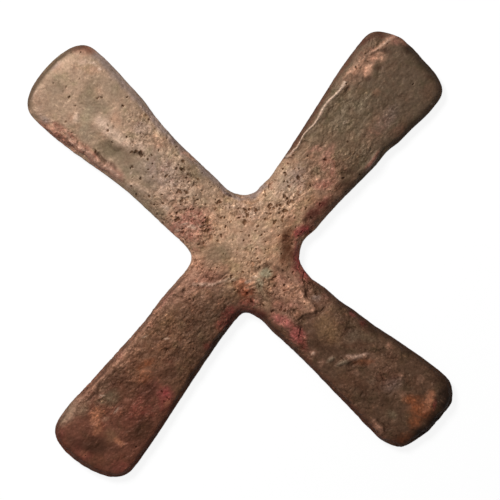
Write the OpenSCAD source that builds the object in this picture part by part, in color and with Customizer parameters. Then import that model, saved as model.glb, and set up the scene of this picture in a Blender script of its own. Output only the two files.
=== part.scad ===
// Cast copper currency cross: four flared arms that meet at a crossing, poured in one piece
// in an open mould. It lies on its flat back, with the upper face of the casting towards +Z.
// The origin is the middle of the crossing, on the plane of the back.

/* [Section of the casting] */
// Height of the rim above the back, at the crossing
rim_h_crossing = 7.6; // [6:0.1:10]
// Height of the rim above the back, at the ends of the arms
rim_h_end = 6.4; // [5:0.1:9]
// Rise of the upper face above the rim, along the middle of an arm
arm_crown = 0.7; // [0:0.1:2]
// Rise of the upper face above the rim, at the middle of the crossing
crossing_crown = 1.1; // [0:0.1:3]
// Height of the widest line of the edge above the back
belly_h = 3.2; // [2:0.1:4.5]
// How far the upper edge rounds in from the outline
upper_round = 3.8; // [1:0.1:6]
// How far the edge of the back rounds in from the outline
back_round = 3.2; // [1:0.1:5]
// Metal dressed off the back to make it flat
back_dressing = 0.4; // [0.1:0.1:1]

/* [Crossing] */
// Distance from the middle of the crossing to the neck of each arm
neck_at = 28; // [26:0.5:32]
// Pull of the upper notch towards the middle
upper_notch_pull = 5.2; // [2:0.1:9]
// Pull of the left notch towards the middle
left_notch_pull = 12; // [5:0.1:14]
// Pull of the lower notch towards the middle
lower_notch_pull = 8.9; // [5:0.1:14]
// Pull of the right notch towards the middle
right_notch_pull = 8.4; // [5:0.1:14]

/* [Ends of the arms] */
// Length of the rounded end of each arm
end_l = 15.5; // [10:0.5:22]
// Squareness of the rounded end: 2 is an ellipse, more is blunter
end_squareness = 3.4; // [2:0.1:5]

/* [Upper right arm] */
// Direction of the arm, in degrees from +X
upper_right_direction = 51.4; // [45:0.1:57]
// Distance by which the arm's axis passes to the left of the middle
upper_right_offset = -2.8; // [-5:0.1:3]
// Reach of the arm from the middle of the crossing
upper_right_reach = 125.2; // [105:0.1:145]
// Width at the neck
upper_right_neck_w = 32; // [28:0.1:36]
// Width across the flared end
upper_right_end_w = 45.4; // [34:0.1:56]
// Where along the arm the flare begins
upper_right_flare_from = 28; // [28:1:60]
// Where along the arm the flare is complete
upper_right_flare_to = 113; // [80:1:125]
// Slant of the end, in degrees
upper_right_slant = 2.5; // [-10:0.5:10]

/* [Upper left arm] */
// Direction of the arm, in degrees from +X
upper_left_direction = 136.9; // [131:0.1:142]
// Distance by which the arm's axis passes to the left of the middle
upper_left_offset = -0.6; // [-5:0.1:3]
// Reach of the arm from the middle of the crossing
upper_left_reach = 128.2; // [105:0.1:145]
// Width at the neck
upper_left_neck_w = 33.2; // [28:0.1:36]
// Width across the flared end
upper_left_end_w = 43.6; // [34:0.1:56]
// Where along the arm the flare begins
upper_left_flare_from = 54; // [28:1:60]
// Where along the arm the flare is complete
upper_left_flare_to = 110; // [80:1:125]
// Slant of the end, in degrees
upper_left_slant = -1; // [-10:0.5:10]

/* [Lower left arm] */
// Direction of the arm, in degrees from +X
lower_left_direction = 232.4; // [226:0.1:238]
// Distance by which the arm's axis passes to the left of the middle
lower_left_offset = -0.9; // [-5:0.1:3]
// Reach of the arm from the middle of the crossing
lower_left_reach = 125; // [105:0.1:145]
// Width at the neck
lower_left_neck_w = 32.8; // [28:0.1:36]
// Width across the flared end
lower_left_end_w = 42.4; // [34:0.1:56]
// Where along the arm the flare begins
lower_left_flare_from = 29; // [28:1:60]
// Where along the arm the flare is complete
lower_left_flare_to = 118; // [80:1:125]
// Slant of the end, in degrees
lower_left_slant = -4; // [-10:0.5:10]

/* [Lower right arm] */
// Direction of the arm, in degrees from +X
lower_right_direction = 320.5; // [315:0.1:326]
// Distance by which the arm's axis passes to the left of the middle
lower_right_offset = -4.6; // [-6:0.1:3]
// Reach of the arm from the middle of the crossing
lower_right_reach = 119.8; // [105:0.1:145]
// Width at the neck
lower_right_neck_w = 30.6; // [28:0.1:36]
// Width across the flared end
lower_right_end_w = 41.8; // [34:0.1:56]
// Where along the arm the flare begins
lower_right_flare_from = 35; // [28:1:60]
// Where along the arm the flare is complete
lower_right_flare_to = 106; // [80:1:125]
// Slant of the end, in degrees
lower_right_slant = 2.5; // [-10:0.5:10]

/* [Hidden] */

// Steps along a straight side, round an end, along a notch, up each half of an edge and across a face
side_steps = 16;
end_steps = 36;
notch_steps = 12;
edge_steps = 4;
face_steps = 6;

// Each arm: direction, offset, reach, neck width, end width, flare start, flare end, slant
upper_right = [upper_right_direction, upper_right_offset, upper_right_reach, upper_right_neck_w,
    upper_right_end_w, upper_right_flare_from, upper_right_flare_to, upper_right_slant];
upper_left = [upper_left_direction, upper_left_offset, upper_left_reach, upper_left_neck_w,
    upper_left_end_w, upper_left_flare_from, upper_left_flare_to, upper_left_slant];
lower_left = [lower_left_direction, lower_left_offset, lower_left_reach, lower_left_neck_w,
    lower_left_end_w, lower_left_flare_from, lower_left_flare_to, lower_left_slant];
lower_right = [lower_right_direction, lower_right_offset, lower_right_reach, lower_right_neck_w,
    lower_right_end_w, lower_right_flare_from, lower_right_flare_to, lower_right_slant];

function direction(arm) = arm[0];
function offset_of(arm) = arm[1];
function reach(arm) = arm[2];
function neck_w(arm) = arm[3];
function end_w(arm) = arm[4];
function flare_from(arm) = arm[5];
function flare_to(arm) = arm[6];
function slant(arm) = arm[7];

// The arms in turn round the crossing, and the pull of the notch that follows each one
arms = [upper_right, upper_left, lower_left, lower_right];
notch_pulls = [upper_notch_pull, left_notch_pull, lower_notch_pull, right_notch_pull];

function blend(a, b, t) = a + (b - a) * t;
function ramp(from, to, x) = let (t = min(1, max(0, (x - from) / (to - from)))) t * t * (3 - 2 * t);
function unit(p) = p / norm(p);
function left_of(p) = [-p[1], p[0]];

// Plan of an arm, along its own axis: distances u from the middle, and v to the left of the axis
function end_start(arm) = reach(arm) - end_l;
function half_w(arm, u) = blend(neck_w(arm), end_w(arm), ramp(flare_from(arm), flare_to(arm), u)) / 2;
function slanted(arm, u, v) = u + v * tan(slant(arm)) * ramp(neck_at, end_start(arm), u);
function plan_point(arm, u, v) = [slanted(arm, u, v), v + offset_of(arm)];
function side_u(arm, k) = blend(neck_at, end_start(arm), k / side_steps);

function right_side(arm) = [for (k = [0 : side_steps - 1])
    let (u = side_u(arm, k)) plan_point(arm, u, -half_w(arm, u))];
function left_side(arm) = [for (k = [side_steps - 1 : -1 : 0])
    let (u = side_u(arm, k)) plan_point(arm, u, half_w(arm, u))];
function round_end(arm) = let (half = half_w(arm, end_start(arm))) [for (k = [0 : end_steps])
    let (turn = 180 * k / end_steps)
    plan_point(arm, end_start(arm) + end_l * pow(sin(turn), 2 / end_squareness), -half * cos(turn))];

// The free edge of an arm runs out along its right side, round its end and back along its left side
function free_edge(arm) = concat(right_side(arm), round_end(arm), left_side(arm));
free_last = 2 * side_steps + end_steps;
tip = free_last / 2;

// Direction into the metal, square to an edge. At its two ends the edge meets a neck squarely.
function inward(edge, k, first, last) =
    k == 0 ? first : k == len(edge) - 1 ? last : left_of(unit(edge[k + 1] - edge[k - 1]));

// Section of the edge: pairs of inset and height, from the undressed back over the belly to the rim
top = 2 * edge_steps;
function edge_section(rim) = concat(
    [for (k = [0 : edge_steps - 1])
        let (turn = 90 * k / edge_steps)
        [back_round * (1 - sin(turn)), belly_h - (belly_h + back_dressing) * cos(turn)]],
    [for (k = [0 : edge_steps])
        let (turn = 90 * k / edge_steps)
        [upper_round * (1 - cos(turn)), belly_h + (rim - belly_h) * sin(turn)]]);

// Column of points up the edge, from the back to the rim
function column(p, into, rim) = [for (s = edge_section(rim))
    [p[0] + into[0] * s[0], p[1] + into[1] * s[0], s[1]]];

// From an arm's own axes to those of the casting
function turned(arm, p) = let (c = cos(direction(arm)), s = sin(direction(arm)))
    [p[0] * c - p[1] * s, p[0] * s + p[1] * c, p[2]];
function axis(arm) = [cos(direction(arm)), sin(direction(arm))];

function rim_h(arm, u) = blend(rim_h_crossing, rim_h_end, ramp(neck_at, reach(arm), u));
function arm_columns(arm) = let (edge = free_edge(arm)) [for (k = [0 : free_last])
    [for (p = column(edge[k], inward(edge, k, [0, 1], [0, -1]), rim_h(arm, edge[k][0]))) turned(arm, p)]];

// Points across the upper face between two rims, which they leave out. The crown runs out at the tip.
function face_row(a, b, rise) = [for (k = [1 : face_steps - 1])
    let (share = k / face_steps) blend(a, b, share) + [0, 0, rise * (1 - pow(2 * share - 1, 2))]];
function crown_at(k) = arm_crown * (1 - ramp(side_steps, tip, k));
function arm_rows(columns) = [for (k = [0 : tip - 1])
    face_row(columns[k][top], columns[free_last - k][top], crown_at(k))];

// Triangles of a strip between two rows of points, given as lists of indices
function strip(a, b) = [for (k = [0 : len(a) - 2])
    each [[a[k], a[k + 1], b[k + 1]], [a[k], b[k + 1], b[k]]]];
function reversed(list) = [for (k = [len(list) - 1 : -1 : 0]) list[k]];

// Indices of the points of columns and rows that are listed one after the other
levels = top + 1;
inner = face_steps - 1;
function column_point(k, level) = k * levels + level;
function column_indices(k) = [for (level = [0 : top]) column_point(k, level)];
function level_indices(from, to, level) = [for (k = [from : to]) column_point(k, level)];
function edge_faces(from, to) = [for (level = [0 : top - 1])
    each strip(level_indices(from, to, level + 1), level_indices(from, to, level))];

// Takes the dressing off the back, down to the plane that the casting rests on
module dressed() {
    span = 2 * max([for (arm = arms) reach(arm) + end_w(arm)]);
    difference() {
        children();
        translate([-span / 2, -span / 2, -2 * back_dressing]) cube([span, span, 2 * back_dressing]);
    }
}

// Solid from the neck of an arm to its end
module arm_casting(arm) {
    columns = arm_columns(arm);
    rows = arm_rows(columns);
    first_row = (free_last + 1) * levels;
    function row_indices(k) = [for (m = [0 : inner - 1]) first_row + k * inner + m];
    function across(k) = concat([column_point(k, top)], row_indices(k), [column_point(free_last - k, top)]);

    upper_faces = [for (k = [0 : tip - 2]) each strip(across(k), across(k + 1))];
    last_row = across(tip - 1);
    tip_faces = [for (k = [0 : len(last_row) - 2]) [last_row[k], last_row[k + 1], column_point(tip, top)]];
    right_back = level_indices(0, tip - 1, 0);
    left_back = [for (k = [0 : tip - 1]) column_point(free_last - k, 0)];
    back_faces = strip(right_back, left_back);
    back_tip = [column_point(tip - 1, 0), column_point(tip, 0), column_point(tip + 1, 0)];
    neck_face = concat(column_indices(free_last), reversed(row_indices(0)), reversed(column_indices(0)));
    dressed() polyhedron(concat([for (c = columns) each c], [for (r = rows) each r]),
        concat(edge_faces(0, free_last), upper_faces, tip_faces, back_faces, [back_tip, neck_face]));
}

// Edge of a notch: a curve that leaves one neck along its arm's axis and meets the next in the same way
function curve_point(a, b, c, d, t) = pow(1 - t, 3) * a + 3 * t * pow(1 - t, 2) * b
    + 3 * t * t * (1 - t) * c + pow(t, 3) * d;
function neck_corner(arm, side) =
    let (p = turned(arm, [neck_at, side * half_w(arm, neck_at) + offset_of(arm), 0])) [p[0], p[1]];
function notch_edge(arm, next, pull) = let (a = neck_corner(arm, 1), d = neck_corner(next, -1))
    [for (k = [0 : notch_steps])
        curve_point(a, a - pull * axis(arm), d - pull * axis(next), d, k / notch_steps)];
function notch_columns(arm, next, pull) = let (edge = notch_edge(arm, next, pull))
    [for (k = [0 : notch_steps])
        column(edge[k], inward(edge, k, -left_of(axis(arm)), left_of(axis(next))), rim_h_crossing)];

// Solid between the four necks
module crossing_casting() {
    turns = [0 : len(arms) - 1];
    notch_columns_all = [for (n = turns)
        each notch_columns(arms[n], arms[(n + 1) % len(arms)], notch_pulls[n])];
    neck_rows = [for (n = turns) let (columns = arm_columns(arms[n]))
        face_row(columns[0][top], columns[free_last][top], crown_at(0))];

    // Indices: the notches' columns first, then the rows across the necks
    notch_count = notch_steps + 1;
    first_row = len(arms) * notch_count * levels;
    function notch_first(n) = n * notch_count;
    function notch_last(n) = notch_first(n) + notch_steps;
    function before(n) = (n + len(arms) - 1) % len(arms);
    function row_indices(n) = [for (m = [0 : inner - 1]) first_row + n * inner + m];
    function neck_face(n) = concat(column_indices(notch_last(before(n))), row_indices(n),
        reversed(column_indices(notch_first(n))));
    rim_ring = [for (n = turns)
        each concat(row_indices(n), level_indices(notch_first(n), notch_last(n), top))];
    back_ring = [for (n = turns) each level_indices(notch_first(n), notch_last(n), 0)];

    // The upper face closes in on the middle in rings
    edge_points = concat([for (c = notch_columns_all) each c], [for (r = neck_rows) each r]);
    middle = [0, 0, rim_h_crossing + crossing_crown];
    function ring_point(p, share) = let (flat = (1 - share) * p)
        [flat[0], flat[1], blend(p[2], middle[2], 1 - pow(1 - share, 2))];
    ring_points = [for (k = [1 : face_steps - 1])
        each [for (i = rim_ring) ring_point(edge_points[i], k / face_steps)]];
    first_ring = len(edge_points);
    ring_count = len(rim_ring);
    function ring(k) = k == 0 ? rim_ring
        : [for (m = [0 : ring_count - 1]) first_ring + (k - 1) * ring_count + m];
    function closed(list) = concat(list, [list[0]]);
    upper_middle = first_ring + len(ring_points);
    back_middle = upper_middle + 1;

    upper_faces = [for (k = [0 : face_steps - 2]) each strip(closed(ring(k + 1)), closed(ring(k)))];
    function fan(list, centre) = [for (k = [0 : len(list) - 2]) [list[k], centre, list[k + 1]]];
    dressed() polyhedron(concat(edge_points, ring_points, [middle, [0, 0, -back_dressing]]),
        concat([for (n = turns) each edge_faces(notch_first(n), notch_last(n))],
            [for (n = turns) neck_face(n)],
            upper_faces,
            fan(closed(ring(face_steps - 1)), upper_middle),
            fan(reversed(closed(back_ring)), back_middle)));
}

module crossing() color("#7d604c") crossing_casting();
module upper_right_arm() color("#6b5443") arm_casting(upper_right);
module upper_left_arm() color("#957259") arm_casting(upper_left);
module lower_left_arm() color("#75543f") arm_casting(lower_left);
module lower_right_arm() color("#5f4636") arm_casting(lower_right);

crossing();
upper_right_arm();
upper_left_arm();
lower_left_arm();
lower_right_arm();
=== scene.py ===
"""Looks of a cast copper cross: a rough, pitted, brown-patinated skin over the five solids of the casting.

The solids are merged into one unbroken surface. The forms that can be pointed at (lips, laps, creases,
hollows, bosses, large pits) are placed one by one, and so are the stains. The forms that only follow a rule
(swell, lumps, crinkles, knobs, grain, flakes, cavities, small pits) come from Geometry Nodes, and the patina
has clouds, specks, flecks, strokes and sweeps of its own. Part of the paint stands for light: painted glints
and highlights on pale tips, and painted shade in crevices and on the margins away from the lamp. The finished
skin is cut at the necks, so that each solid has its own piece.
"""
import math
from collections import namedtuple

import bmesh
import bpy
import numpy as np
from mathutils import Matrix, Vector
from mathutils.kdtree import KDTree


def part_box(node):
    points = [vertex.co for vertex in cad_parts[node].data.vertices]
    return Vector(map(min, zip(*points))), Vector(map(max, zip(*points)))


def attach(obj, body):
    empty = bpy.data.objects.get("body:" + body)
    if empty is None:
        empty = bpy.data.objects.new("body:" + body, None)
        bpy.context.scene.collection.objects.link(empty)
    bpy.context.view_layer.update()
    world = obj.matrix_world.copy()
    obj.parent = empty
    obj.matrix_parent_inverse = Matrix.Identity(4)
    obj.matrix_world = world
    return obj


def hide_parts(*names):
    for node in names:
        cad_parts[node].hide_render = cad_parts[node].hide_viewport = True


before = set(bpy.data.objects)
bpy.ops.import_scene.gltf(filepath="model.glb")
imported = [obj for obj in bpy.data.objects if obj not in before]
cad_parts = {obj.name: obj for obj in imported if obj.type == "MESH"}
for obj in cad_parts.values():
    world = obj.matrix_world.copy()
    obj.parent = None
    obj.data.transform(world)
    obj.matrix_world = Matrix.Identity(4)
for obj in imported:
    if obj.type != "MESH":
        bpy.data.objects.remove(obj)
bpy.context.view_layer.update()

bl_info = {
    "name": "Cast copper cross",
    "version": (1, 0, 0),
    "blender": (4, 5, 0),
    "location": "View3D > Sidebar > Cross",
    "description": "Makes the skin, the patina and the stage of a cast copper cross",
    "category": "Object",
}

MM = 0.001
CROSSING = "crossing"
ARMS = ("upper_right_arm", "upper_left_arm", "lower_left_arm", "lower_right_arm")
BODY = "root"
SLOT = "patinated_copper"
SKIN = "casting_skin"

# How close counts as touching, and as lying on a plane
TOUCHING = 0.01 * MM
ON_PLANE = 0.005 * MM


# Sizes and colours that a user would change

def length(name, description, millimetres):
    """A property that holds a length."""
    return bpy.props.FloatProperty(
        name=name, description=description, default=millimetres * MM, unit="LENGTH", precision=5)


def color(name, description, red, green, blue):
    """A property that holds a colour, given as it looks on screen from 0 to 255 a channel."""
    def linear(level):
        share = level / 255
        return share / 12.92 if share <= 0.04045 else ((share + 0.055) / 1.055) ** 2.4
    shown = (linear(red), linear(green), linear(blue))
    return bpy.props.FloatVectorProperty(name=name, description=description, subtype="COLOR", default=shown)


class CastingSettings(bpy.types.PropertyGroup):
    """Sizes of the casting's skin."""
    mesh_size: length("Mesh size", "Spacing of the skin's points, halved on the upper face", 0.51)
    swell_size: length("Swell size", "Span of the broad swells of the poured surface", 20)
    swell_height: length("Swell height", "Height of the broad swells", 0.4)
    shoulder_width: length("Shoulder width", "How far in from the outline the upper face rounds off", 6)
    shoulder_drop: length("Shoulder drop", "How far the upper face has dropped at the outline", 0.9)
    lump_size: length("Lump size", "Span of the lumps", 7)
    lump_height: length("Lump height", "Height of the lumps", 1.3)
    crinkle_size: length("Crinkle size", "Span of the crinkles across their run", 3.0)
    crinkle_height: length("Crinkle height", "Height of the crinkles where the skin is coarsest", 0.75)
    knob_size: length("Knob size", "Span of the rounded knobs with sharp crevices between", 3.4)
    knob_height: length("Knob height", "Height of the knobs where the skin is coarsest", 1.0)
    cavity_size: length("Cavity size", "Span of the ragged cavities of the spongy skin", 2.2)
    cavity_depth: length("Cavity depth", "Depth of the ragged cavities", 0.6)
    grain_size: length("Grain size", "Span of the fine grain", 0.9)
    grain_height: length("Grain height", "Height of the fine grain where the skin is coarsest", 0.26)
    patch_size: length("Patch size", "Span of the calmer and rougher patches of the skin", 11)
    flake_size: length("Flake size", "Span of the plates of oxide scale", 10)
    flake_height: length("Flake height", "Thickness of the plates of oxide scale", 0.45)
    pit_pitch: length("Pit pitch", "Mean distance between gas pits where they lie closest", 2.1)
    pit_depth: length("Pit depth", "Depth of the deepest gas pits", 0.55)
    crinkle_stretch: bpy.props.FloatProperty(
        name="Crinkle stretch", description="Length of a crinkle along its run over its span", default=1.6)
    seed: bpy.props.IntProperty(name="Seed", description="Choice of the chance pattern", default=7)


class PatinaSettings(bpy.types.PropertyGroup):
    """Colours of the patina."""
    tan: color("Tan", "Pale grey-tan film of the upper left arm", 158, 130, 108)
    ochre: color("Ochre", "Warm tan of the crossing", 174, 138, 110)
    clay: color("Clay", "Pinkish brown where the film is rubbed thin", 148, 109, 89)
    drab: color("Drab", "Grey-brown of the upper right end", 98, 79, 63)
    brown: color("Brown", "Dark brown of the lower right arm", 92, 67, 51)
    earth: color("Earth", "Lighter brown of the lower left arm", 110, 77, 58)
    red_brown: color("Red-brown", "Reddish brown of the lower left end", 105, 64, 49)
    sand: color("Sand", "Palest rubbed spots", 190, 162, 142)
    grey: color("Grey", "Grey film", 125, 108, 89)
    olive: color("Olive", "Grey-olive film in hollows", 110, 94, 73)
    straw: color("Straw", "Yellow-brown film", 122, 92, 66)
    green: color("Green", "Pale grey-green bloom", 160, 148, 121)
    lilac: color("Lilac", "Cool grey edges", 140, 122, 115)
    pink: color("Pink", "Pink oxide", 162, 112, 96)
    rose: color("Rose", "Bright red-pink oxide", 166, 92, 86)
    copper: color("Copper", "Copper showing through", 190, 144, 118)
    red: color("Red", "Dark red oxide", 120, 58, 51)
    crimson: color("Crimson", "Bright red oxide by the notches", 138, 62, 60)
    orange: color("Orange", "Orange crust", 160, 105, 78)
    rust: color("Rust", "Red-orange brown crust", 128, 73, 45)
    # Umber also paints shade along the creases and on the shaded lower side of the upper right root
    umber: color("Umber", "Dark brown grime", 60, 37, 24)
    # Black is painted shade at the lower right end
    black: color("Black", "Black-brown grime", 34, 23, 18)


class StageSettings(bpy.types.PropertyGroup):
    """Light, floor and camera."""
    view_width: length("View width", "Width that the camera sees at the casting's widest line", 235)
    lens: bpy.props.FloatProperty(name="Lens", description="Focal length of the camera, in mm", default=100)
    key_power: bpy.props.FloatProperty(
        name="Key power", description="Power of the lamp at the upper left", default=9.5, unit="POWER")
    sky_strength: bpy.props.FloatProperty(
        name="Sky strength", description="Strength of the even light from all round", default=0.36)
    floor: color("Floor", "Colour of the floor under the white that the eye sees", 104, 104, 104)


# Forms placed one by one. Places are in mm from the middle of the crossing, as the upper face is seen.

Lip = namedtuple("Lip", "name path half_width height")
LIPS = (
    Lip("fold on the upper right arm",
        ((19.8, 45.8), (24, 50), (28, 55.3), (32, 61), (36, 67), (39, 71.5), (44, 76.5), (47.3, 79.8)),
        0.6, 0.6),
    Lip("lip at the upper right tip", ((49, 83), (53, 88.5), (59, 94), (64, 97.5), (70, 101.5)), 1.6, 0.5),
    Lip("bulge on the upper right arm", ((62.5, 48.5), (60, 44.5), (56, 39)), 1.6, 0.8),
    Lip("rolled edge of the upper left arm",
        ((-95.5, 60.4), (-88.6, 56.5), (-80.6, 51.5), (-74.6, 48.3), (-69.6, 44.1), (-64.6, 40.5),
         (-59.5, 37)), 2.1, 1.0),
    Lip("pale ridge on the upper left arm", ((-67, 62), (-62, 56.5), (-56, 52), (-49, 50.8)), 2.2, 0.35),
    Lip("short ridge on the upper left arm",
        ((-55, 32), (-50, 31.5), (-46, 28.7), (-43.5, 27.3)), 1.2, 0.35),
    Lip("flake on the upper left end", ((-78.7, 66), (-78.2, 62.5)), 1.6, 0.4),
    Lip("ridge below the crossing", ((-23, -14), (-15, -13.5), (-9, -12.6), (-4.5, -11.6)), 1.0, 0.2),
    Lip("shoulder of the lower left arm",
        ((-27, -13), (-37, -23), (-46, -34), (-54, -44), (-62, -53), (-70, -62), (-77, -69),
         (-83, -76)), 2.2, 0.5),
    Lip("ridge on the lower right arm",
        ((47.8, -49.9), (50, -47.8), (53, -46.9), (56, -47.5), (58, -49.4)), 1.3, 1.0),
    Lip("second ridge on the lower right arm", ((43.2, -52.6), (45.5, -51), (48.4, -49.3)), 0.8, 0.8),
    Lip("third ridge on the lower right arm", ((39.3, -50), (42.3, -48.6)), 1.0, 0.7),
    Lip("flake on the lower right arm", ((60.3, -77.5), (62.5, -81), (65.3, -85)), 2.0, 0.8),
)
LIP_PATHS = {lip.name: lip.path for lip in LIPS}

Lap = namedtuple("Lap", "name path height run")
LAPS = (
    Lap("lap at the root of the lower right arm",
        ((28.5, -15.5), (29.3, -18.3), (30.5, -21), (33, -23), (33.8, -25.8), (31.5, -28.3), (28.5, -29.5),
         (26.6, -30.3), (26, -33)), 0.9, 9),
    Lap("edge of the straw film on the lower right arm",
        ((47.9, -33.4), (46, -37.6), (43.2, -41.4), (39.5, -40.4), (34.8, -36.7), (31.5, -32)), 0.3, 6),
)

# Creases sink the skin and are also painted umber along their paths, partly as painted shade
Crease = namedtuple("Crease", "name path half_width depth")
CREASES = (
    Crease("crease under the rolled edge",
           ((-96, 60.3), (-92, 58.2), (-88, 55.6), (-83, 52.6), (-79, 50)), 0.5, 0.3),
    Crease("crease inside the rolled edge", ((-70, 48), (-67, 46), (-64, 43.3), (-60.5, 40.8)), 0.9, 0.5),
    Crease("split on the upper left arm", ((-52.5, 46.8), (-50, 47), (-47.8, 48)), 0.8, 0.4),
    Crease("crease at the upper left root", ((-31, 13), (-25.5, 13.5), (-20, 15)), 0.7, 0.15),
    Crease("crease across the crossing", ((4.5, -6.5), (9, -5.4), (14, -6), (18, -8.3)), 1.0, 0.5),
    Crease("crease below the crossing", ((-22, -15.8), (-15, -15.2), (-9, -14.3), (-4.5, -13.2)), 0.8, 0.2),
    Crease("scratch in the crossing", ((-11.3, -11.3), (-6.5, -8.3)), 0.4, 0.35),
    Crease("second scratch in the crossing", ((-9.8, -12.3), (-5, -9.6)), 0.4, 0.35),
    Crease("groove inside the fold",
           ((21.5, 44), (25.8, 49.8), (34, 60), (39.5, 68.5), (45, 75.5)), 0.8, 0.35),
    Crease("notch in the fold", ((19.5, 45.6), (22.8, 45.2)), 0.5, 0.6),
    Crease("end of the fold", ((47.3, 75.5), (48.8, 78.2)), 0.7, 0.5),
    Crease("foot of the lap", ((28.8, -16.5), (29.4, -19.5), (31, -21.8)), 1.3, 0.4),
    Crease("front of the lap",
           ((37.2, -24.3), (34.8, -26.2), (32.8, -27.8), (29.5, -29.4), (26.5, -30.2), (26, -33)), 1.4, 0.4),
    Crease("crease in the lap", ((12.2, -26.7), (14.5, -26.3)), 0.8, 0.5),
    Crease("second crease in the lap", ((20.5, -26.6), (23.5, -26.4)), 0.6, 0.5),
    Crease("foot of the ridge on the lower right arm", ((48.5, -51.8), (52, -50.4), (57, -51)), 0.8, 0.5),
    Crease("crease on the lower right arm", ((54.5, -66.5), (57, -61.5)), 0.7, 0.5),
    Crease("foot of the flake on the lower right arm",
           ((62.5, -77.5), (64.7, -80.5), (66.5, -84)), 0.7, 0.5),
    Crease("crease at the lower left root", ((-29.3, -20.3), (-27.4, -16.8)), 0.6, 0.5),
    Crease("second crease at the lower left root", ((-34.2, -19.7), (-31.2, -20.4)), 0.6, 0.5),
    Crease("crease inside the left shoulder",
           ((-57, -52.5), (-63.5, -57.3), (-67.5, -60), (-69, -64), (-74, -68.3)), 0.9, 0.6),
)

Hollow = namedtuple("Hollow", "name x y along across turn depth")
HOLLOWS = (
    Hollow("hollow by the rolled edge", -62.5, 47.8, 8, 4, -25, 0.5),
    Hollow("groove by the right notch", 19.8, 5, 10, 3.6, 84, 0.45),
    Hollow("pocket in the lap", 29.3, -19.6, 2.6, 1.5, 80, 1.1),
    Hollow("second pocket in the lap", 33, -26.8, 1.5, 1.0, 30, 0.9),
    Hollow("third pocket in the lap", 36.2, -25.4, 2, 0.8, 50, 0.7),
    Hollow("pocket on the lower right arm", 49.4, -55, 1.6, 1.2, 0, 0.5),
    Hollow("hollow by the lap", 30, -35, 4, 3, 0, 0.4),
    Hollow("hollow on the lower left arm", -66, -62.5, 6, 2.5, 45, 0.5),
    Hollow("hollow behind the fold", 48, 76, 5, 2, 60, 0.4),
    Hollow("hollow on the upper right arm", 48, 37.5, 6, 3, 30, 0.5),
)

# Rounded bosses in the crusted places: place, half-lengths along and across, turn in degrees, height
Boss = namedtuple("Boss", "x y along across turn height")
BOSSES = (
    # Lap at the root of the lower right arm
    Boss(28.7, -22.4, 5.2, 2.7, -50, 0.33),
    Boss(16.5, -12.2, 2.9, 1.9, 10, 0.33),
    Boss(21.6, -14.6, 3, 2, -20, 0.26),
    Boss(13.2, -17.4, 2.1, 1.5, 30, 0.26),
    Boss(19.6, -20.8, 2.6, 1.8, -30, 0.26),
    Boss(15.3, -22.8, 2.1, 1.4, 0, 0.26),
    Boss(11.3, -20.2, 2, 1.5, 0, 0.23),
    Boss(24.4, -28, 3, 1.7, -25, 0.29),
    Boss(32.2, -19.6, 2, 1.5, 0, 0.26),
    Boss(35.8, -20.6, 1.7, 1.3, -30, 0.26),
    # Red crust above the lower notch
    Boss(-1.9, -13.6, 2.2, 1.4, 10, 0.29),
    Boss(3.8, -13.4, 1.9, 1.3, 0, 0.29),
    Boss(1.3, -16.2, 2, 1.3, -20, 0.29),
    Boss(-1, -18.6, 1.7, 1.3, 30, 0.26),
    Boss(2.9, -19.8, 1.9, 1.4, 0, 0.26),
    Boss(5.8, -22.8, 1.9, 1.4, -30, 0.26),
    Boss(0.9, -23, 2, 1.3, 0, 0.23),
    # Pink crust by the left notch
    Boss(-25.4, 19.3, 2.4, 1.4, 15, 0.17),
    Boss(-21.4, 16.4, 2.4, 1.3, 0, 0.17),
    Boss(-18.1, 18.9, 2, 1.3, 20, 0.16),
    Boss(-24.4, 13.8, 2.6, 1.2, 10, 0.2),
    Boss(-20, 12.4, 2.2, 1.2, -10, 0.17),
    Boss(-27.8, 15.6, 2, 1.3, 30, 0.17),
    Boss(-16.6, 14.8, 1.9, 1.2, 0, 0.16),
    Boss(-22.6, 9.6, 2.2, 1.4, 20, 0.16),
    Boss(-28, 11, 2.2, 1.3, 40, 0.17),
    # Rolled edge of the upper left arm
    Boss(-89.2, 58.6, 3, 1.8, -30, 0.26),
    Boss(-84.4, 55.5, 3, 1.9, -35, 0.33),
    Boss(-79.9, 52.3, 2.8, 1.8, -37, 0.33),
    Boss(-75.7, 49.3, 2.6, 1.7, -37, 0.29),
    Boss(-71.2, 47.7, 2.4, 1.5, -37, 0.29),
    Boss(-67.5, 44.4, 2.6, 1.5, -40, 0.26),
    # Rose crust on the lower right arm
    Boss(24.3, -35.8, 2.4, 1.7, -30, 0.26),
    Boss(20, -32.4, 2.2, 1.5, -20, 0.26),
    Boss(27.4, -39.4, 2, 1.5, -45, 0.26),
    Boss(31.4, -46.2, 1.8, 1.3, -40, 0.33),
)

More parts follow.
